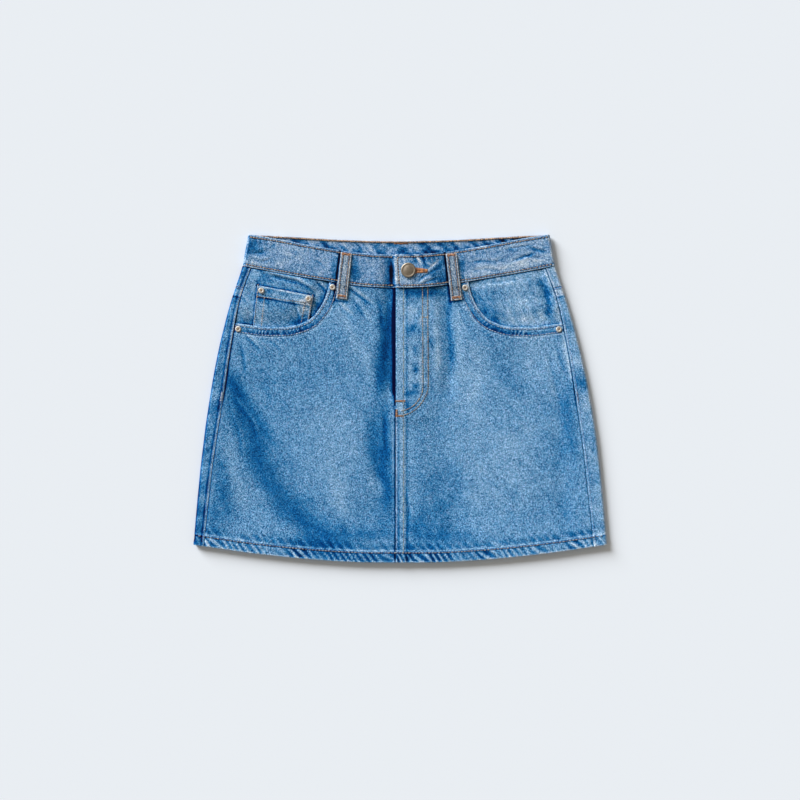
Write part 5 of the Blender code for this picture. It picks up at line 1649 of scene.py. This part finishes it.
def tabPath():
    # round the tab: along the bottom, up its end and back along the top
    inset = band["stitchIn"]
    deep = waistband["deep"]
    r = 3.0
    start = 160.0
    lowX = band["tabLow"] + band["endStitchIn"]
    topX = band["tabTop"] + band["endStitchIn"]
    turns = [math.pi / 2 * k / 6 for k in range(1, 7)]
    points = [(x, inset) for x in np.linspace(start, lowX + r, 60)]
    points += [(lowX + r - r * math.sin(a), inset + r - r * math.cos(a)) for a in turns]
    for t in np.linspace(0.1, 0.9, 8):
        points.append((lowX + (topX - lowX) * t, inset + r + t * (deep - 2 * inset - 2 * r)))
    points += [(topX + r - r * math.cos(a), deep - inset - r + r * math.sin(a)) for a in turns]
    points += [(x, deep - inset) for x in np.linspace(topX + r + 2, start, 60)]
    return onBand(*np.array(points).T, "left")


deep, inset = waistband["deep"], band["stitchIn"]
bandRows = [
    onBand(np.linspace(-9.5, -176.0, 90), inset, "right"),
    onBand(np.linspace(-10.5, -171.0, 90), deep - inset, "right"),
    tabPath(),
    onBand(np.linspace(160.0, 176.0, 8), inset, "left"),
    onBand(np.linspace(160.0, 171.0, 8), deep - inset, "left"),
]
backX = np.linspace(-168, 168, 170)
for line, off in ((backSeamY, inset), (backTopY, -inset)):
    bandRows.append(onSurface(backX, line(np.abs(backX)) + off, cloth["backLift"] + 0.35, down))
insideRow = onSurface(backX, backTopY(np.abs(backX)) - 1.3, cloth["backLift"] + band["thick"])
sew("topstitch_waistband", bandRows, tanThread, 1, 3.3, 2.1, 1.35)
sew("topstitch_waistband_inside", [insideRow], rubbedThread, 2, 2.3, 2.2, 2.0, 0.0, 0.3)

rowsOf = {side: {key: onPanel(path, side) for key, path in rowsOnFront(side).items()} for side in sides}
pocketStitches = [rowsOf[side][key] for side in sides for key in ("pocket0", "pocket1")]
sew("topstitch_pockets", pocketStitches, fadedThread, 3)
hemRows = [rowsOf[side]["hem"] for side in sides]
for side in sides:
    out = np.linspace(abs(seamX(-160.0, side)) + 1.0, 233.0, 6)
    hemRows.append(onStrip(sign[side] * out, hemY(out) + frontPanel["hemRow"], side))
sew("topstitch_hem", hemRows, hemThread, 4, 3.8, 2.2, 1.25)
sew("topstitch_fly_edge", [rowsOf["left"]["flyEdge"]], paleThread, 5, 3.0, 2.2, 1.1)
sew("topstitch_centre_seam", [rowsOf["left"]["centreSeam"]], slateThread, 16, 3.1, 2.3, 0.7)
flyRows = [rowsOf["left"][key] for key in ("flyInner", "flyOuter")]
sew("topstitch_fly", flyRows, sandThread, 15, 3.0, 2.1, 1.15)


def bar(x0, y0, x1, y1, height, outward=up):
    # a bar tack's spine, on a surface given by its height
    return onSurface(np.linspace(x0, x1, 5), np.linspace(y0, y1, 5), height, outward)


def barOnPanel(*ends):
    return onPanel(bar(*ends, 0.0)[0][:, :2], "left")


loopRows, loopTacks = [], []
for side in sides:
    place, long = loopPlaces[side]
    u = np.linspace(-4.7, 4.7, 6)
    v = np.linspace(0.8, long - 1.2, 30)
    loopRows += [(place(0 * v + row, v) - (0, 0, sunk), up) for row in beltLoop["rows"]]
    ends = (beltLoop["tackIn"][0], long - beltLoop["tackIn"][1])
    loopTacks += [(place(u, 0 * u + end), up) for end in ends]
for middle in beltLoop["back"].values():
    topY, lowY = backLoopEnds(middle)
    v = np.linspace(0.8, topY - lowY - 1.2, 30)
    loopRows += [onSurface(middle + row + 0 * v, topY - v, 0.35, down) for row in beltLoop["rows"]]
    loopTacks += [bar(middle - 4.7, y, middle + 4.7, y, 0.4, down) for y in (topY - 1.6, lowY + 2.2)]
sew("topstitch_loops", loopRows, tanThread, 6, 2.8, 2.1, 1.15)
across = math.pi / 2  # bar tacks and buttonholes have their threads across their path
sew("bar_tacks_loops", loopTacks, orangeThread, 7, 0.9, 2.9, 0.75, across, 0.25)
centreTack = [bar(-6.6, 180.6, 8.4, 180.6, cloth["backLift"] + band["thick"] + 0.05)]
sew("bar_tack_centre_back", centreTack, orangeThread, 8, 0.8, 2.0, 0.8, across, 0.2)
flyTacks = ((-5.0, -2.6, 5.2, -2.6), (-4.6, -19.8, 3.7, -19.8), (-4.0, -12.9, -4.0, -20.5))
sew("bar_tacks_fly", [barOnPanel(*ends) for ends in flyTacks], brownThread, 9, 0.9, 2.3, 0.8, across, 0.3)
sideTack = [barOnPanel(25.8, 94.5, 33.2, 94.5)]
sew("bar_tack_fly_side", sideTack, sandThread, 17, 1.0, 2.0, 0.7, across, 0.3)
sideTacks = []
for side in sides:
    ys = np.linspace(-2.5, 8.0, 5)
    sideTacks.append(onStrip(seamX(ys, side) + sign[side] * 2.2, ys, side, 0.0))
sew("bar_tacks_sides", sideTacks, fadedThread, 10, 0.62, 2.2, 0.7, across, 0.12)

# side seams, yoke ends and the back
stripRows, backRows = [], []
for side in sides:
    s = sign[side]
    ys = np.linspace(150.0, -165.0, 150)
    stripRows.append(onStrip(seamX(ys, side) + s * 2.3, ys, side))
    for off in backPanel["seamRows"]:
        ys = np.linspace(78.0, -176.0, 90)
        backRows.append(onBack(0 * ys + s * off, ys))
        out = np.linspace(1.5, 186.0, 90)
        backRows.append(onBack(s * out, yokeY(out) - off))
        ends = np.linspace(abs(seamX(125.0, side)) + 1.0, sideOut(125.0) - 2.6, 4)
        stripRows.append(onStrip(s * ends, yokeY(ends) - off, side))
    out = np.linspace(0.8, 236.0, 90)
    backRows.append(onSurface(s * out, hemY(out) + frontPanel["hemRow"], underside, down))
sew("topstitch_sides", stripRows, slateThread, 11, 3.1, 2.3, 0.6)
sew("topstitch_back", backRows, tanThread, 12)

# the coin pocket: its sides, in shares of its width and depth, and its top band
coinLines = [((u, v0), (u, v1)) for u, v0, v1 in ((0.016, 0.0, 0.9), (0.15, 0.26, 0.9), (0.984, 0.0, 0.86))]
coinLines += [((0.87, 0.26), (0.87, 0.86)), ((0.03, 0.24), (0.97, 0.24))]
coinRows = []
for line in coinLines:
    xs, ys = spaced([coinPoint(*end) for end in line], 2.0).T
    coinRows.append(onSurface(xs, ys, coinTop(xs, ys) - sunk))
sew("topstitch_small_pocket", coinRows, tanThread, 13, 2.8, 2.0, 0.85)

# both sides of the buttonhole's slit, and round its eye
slitRows = []
for s in (1.0, -1.0):
    for near, far in ((2.6, 0.9), (1.5, 0.6)):
        xs = np.linspace(button["x"] + 6.0, button["x"] + 22.8, 12)
        ys = button["y"] + s * np.linspace(near, far, 12) - (xs - button["x"]) * 0.03
        slitRows.append(onSurface(xs, ys, bandTop(xs, ys, "left") + 0.15))
sew("buttonhole_thread", slitRows, orangeThread, 14, 0.6, 1.9, 0.75, across, 0.3)
print("sewing made")

# Metal


def lathe(name, place, profile, steps, material, node, centre=None, centreRings=0):
    # a turned shape from radius and height, from its bottom centre to its top centre
    x, y, z = place
    x = float(skewed(x, y))
    turn = np.linspace(0, 2 * np.pi, steps, endpoint=False)
    circle = np.column_stack([np.cos(turn), np.sin(turn)])
    rings = [np.column_stack([(x, y) + r * circle, np.full(steps, z + h)]) for r, h in profile[1:-1]]
    ends = [[(x, y, z + profile[k][1])] for k in (0, -1)]
    points = np.concatenate([ends[0], *rings, ends[1]]) * mm
    faces = []
    last = len(points) - 1
    for k in range(steps):
        n = (k + 1) % steps
        faces.append((0, 1 + n, 1 + k))
        for r in range(len(rings) - 1):
            a, b = 1 + r * steps, 1 + (r + 1) * steps
            faces.append((a + k, a + n, b + n, b + k))
        a = 1 + (len(rings) - 1) * steps
        faces.append((a + k, a + n, last))
    mesh = bpy.data.meshes.new(name)
    mesh.from_pydata([tuple(p) for p in points], [], faces)
    mesh.materials.append(material)
    if centre:
        mesh.materials.append(centre)
        inner = profile[-1 - centreRings][0] * mm + 1e-6
        for face in mesh.polygons:
            far = math.hypot(face.center.x - x * mm, face.center.y - y * mm)
            face.material_index = int(far < inner and face.center.z > (z + 0.4) * mm)
    piece = addObject(name, mesh)
    mesh.shade_smooth()
    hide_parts(node)
    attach(piece, "root")


rivets = {
    "radius": 3.7,
    "places": (
        ("pocket_right_outer", -186.6, 80.9, "front"),
        ("pocket_right_inner", -76.9, 129.3, "front"),
        ("pocket_left_inner", 76.9, 128.8, "front"),
        ("pocket_left_outer", 185.3, 80.6, "front"),
        ("coin_outer", -159.3, 125.4, "coin"),
        ("coin_inner", -104.8, 115.8, "coin"),
    ),
}


def makeButton():
    x, y, r = button["x"], button["y"], button["radius"]
    tab = max(float(bandTop(np.array(x + dx), np.array(y), "left")) for dx in (-8, 0, 8))
    foot = float(bandTop(np.array(x), np.array(y), "right")) + cloth["seamGap"]
    cap = tab + cloth["seamGap"] - foot
    high = button["high"]
    rim = ((0.9, 0.0), (0.975, 0.25), (1.0, 0.7), (0.985, 1.15), (0.94, 1.6), (0.88, 1.85), (0.82, 1.85))
    hollow = ((0.77, 1.65), (0.72, 1.6), (0.62, 1.8))
    dome = ((0.45, high - 0.4), (0.25, high - 0.12), (0.0, high - 0.05))
    shank = button["shank"]
    cover = [(r * out, cap + h) for out, h in rim + hollow + dome]
    profile = [(0.0, 0.0), (shank, 0.0), (shank, cap), *cover]
    lathe("waist_button", (x, y, foot), profile, 48, antiqueBrass, "button")


def makeRivets():
    r = rivets["radius"]
    dish = ((0.0, 0.0), (0.9, 0.0), (0.94, 0.3), (0.9, 0.6), (0.8, 0.8), (0.62, 0.9), (0.46, 0.84))
    dish += ((0.36, 0.6), (0.28, 0.55), (0.2, 0.8), (0.1, 0.95), (0.0, 1.0))
    profile = [(r * out, h) for out, h in dish]
    for name, x, y, seat in rivets["places"]:
        side = "right" if x < 0 else "left"
        turn = np.linspace(0, 5.5, 8)
        xs, ys = x + r * np.cos(turn), y + r * np.sin(turn)
        top = coinTop(xs, ys) if seat == "coin" else panelTop(xs, ys, side)
        place = (x, y, float(top.max()) + cloth["seamGap"] - 0.1)
        lathe(f"stud_{name}", place, profile, 32, wornNickel, f"rivet_{name}", wornCentre, 4)


makeButton()
makeRivets()
print("metal made")

# Floor, light and camera

studio = {
    "photoWide": 928.0,  # what 800 pixels span at the skirt's front
    "lens": 85.0,
    "sensor": 36.0,
    "centre": (-0.35, -1.4),
    "frontLevel": 5.0,
    "floorHalf": 3,  # metres
    "floorLevel": -0.0006,
}


def aim(piece, start, target):
    away = np.array(target, float) - start
    piece.location = start
    piece.rotation_euler = Vector(away).to_track_quat("-Z", "Y").to_euler()


floorSettings = {"Base Color": linear("#e4ecf3"), "Roughness": 0.9, "Specular IOR Level": 0.1}
floorMesh = bpy.data.meshes.new("floor")
half, under = studio["floorHalf"], studio["floorLevel"]
corners = [(-half, -half, under), (half, -half, under), (half, half, under), (-half, half, under)]
floorMesh.from_pydata(corners, [], [(0, 1, 2, 3)])
floorMesh.materials.append(blankMaterial("pale_floor", floorSettings)[0])
floor = addObject("floor", floorMesh)

light = {
    "from": (-0.68, 0.72, 0.40),  # upper left of the picture, about 22 degrees over the floor
    "strength": 6.25,
    "softness": 30.0,  # how wide the source looks, in degrees
    "colour": "#fcfcff",
    "sky": "#faeedf",
    "skyStrength": 0.34,
}
lamp = bpy.data.lights.new("key_light", "SUN")
lamp.energy = light["strength"]
lamp.angle = math.radians(light["softness"])
lamp.color = linear(light["colour"])[:3]
holder = addObject("key_light", lamp)
aim(holder, light["from"], (0, 0, 0))

world = bpy.data.worlds.new("studio")
world.use_nodes = True
world.node_tree.nodes["Background"].inputs["Color"].default_value = linear(light["sky"])
world.node_tree.nodes["Background"].inputs["Strength"].default_value = light["skyStrength"]
bpy.context.scene.world = world

camera = bpy.data.cameras.new("camera")
camera.lens = studio["lens"]
camera.sensor_width = studio["sensor"]
camera.clip_end = 20.0
viewer = addObject("camera", camera)
distance = studio["photoWide"] / studio["sensor"] * studio["lens"]
viewer.location = np.array((*studio["centre"], distance + studio["frontLevel"])) * mm
bpy.context.scene.camera = viewer
bpy.context.scene.view_settings.view_transform = "Standard"
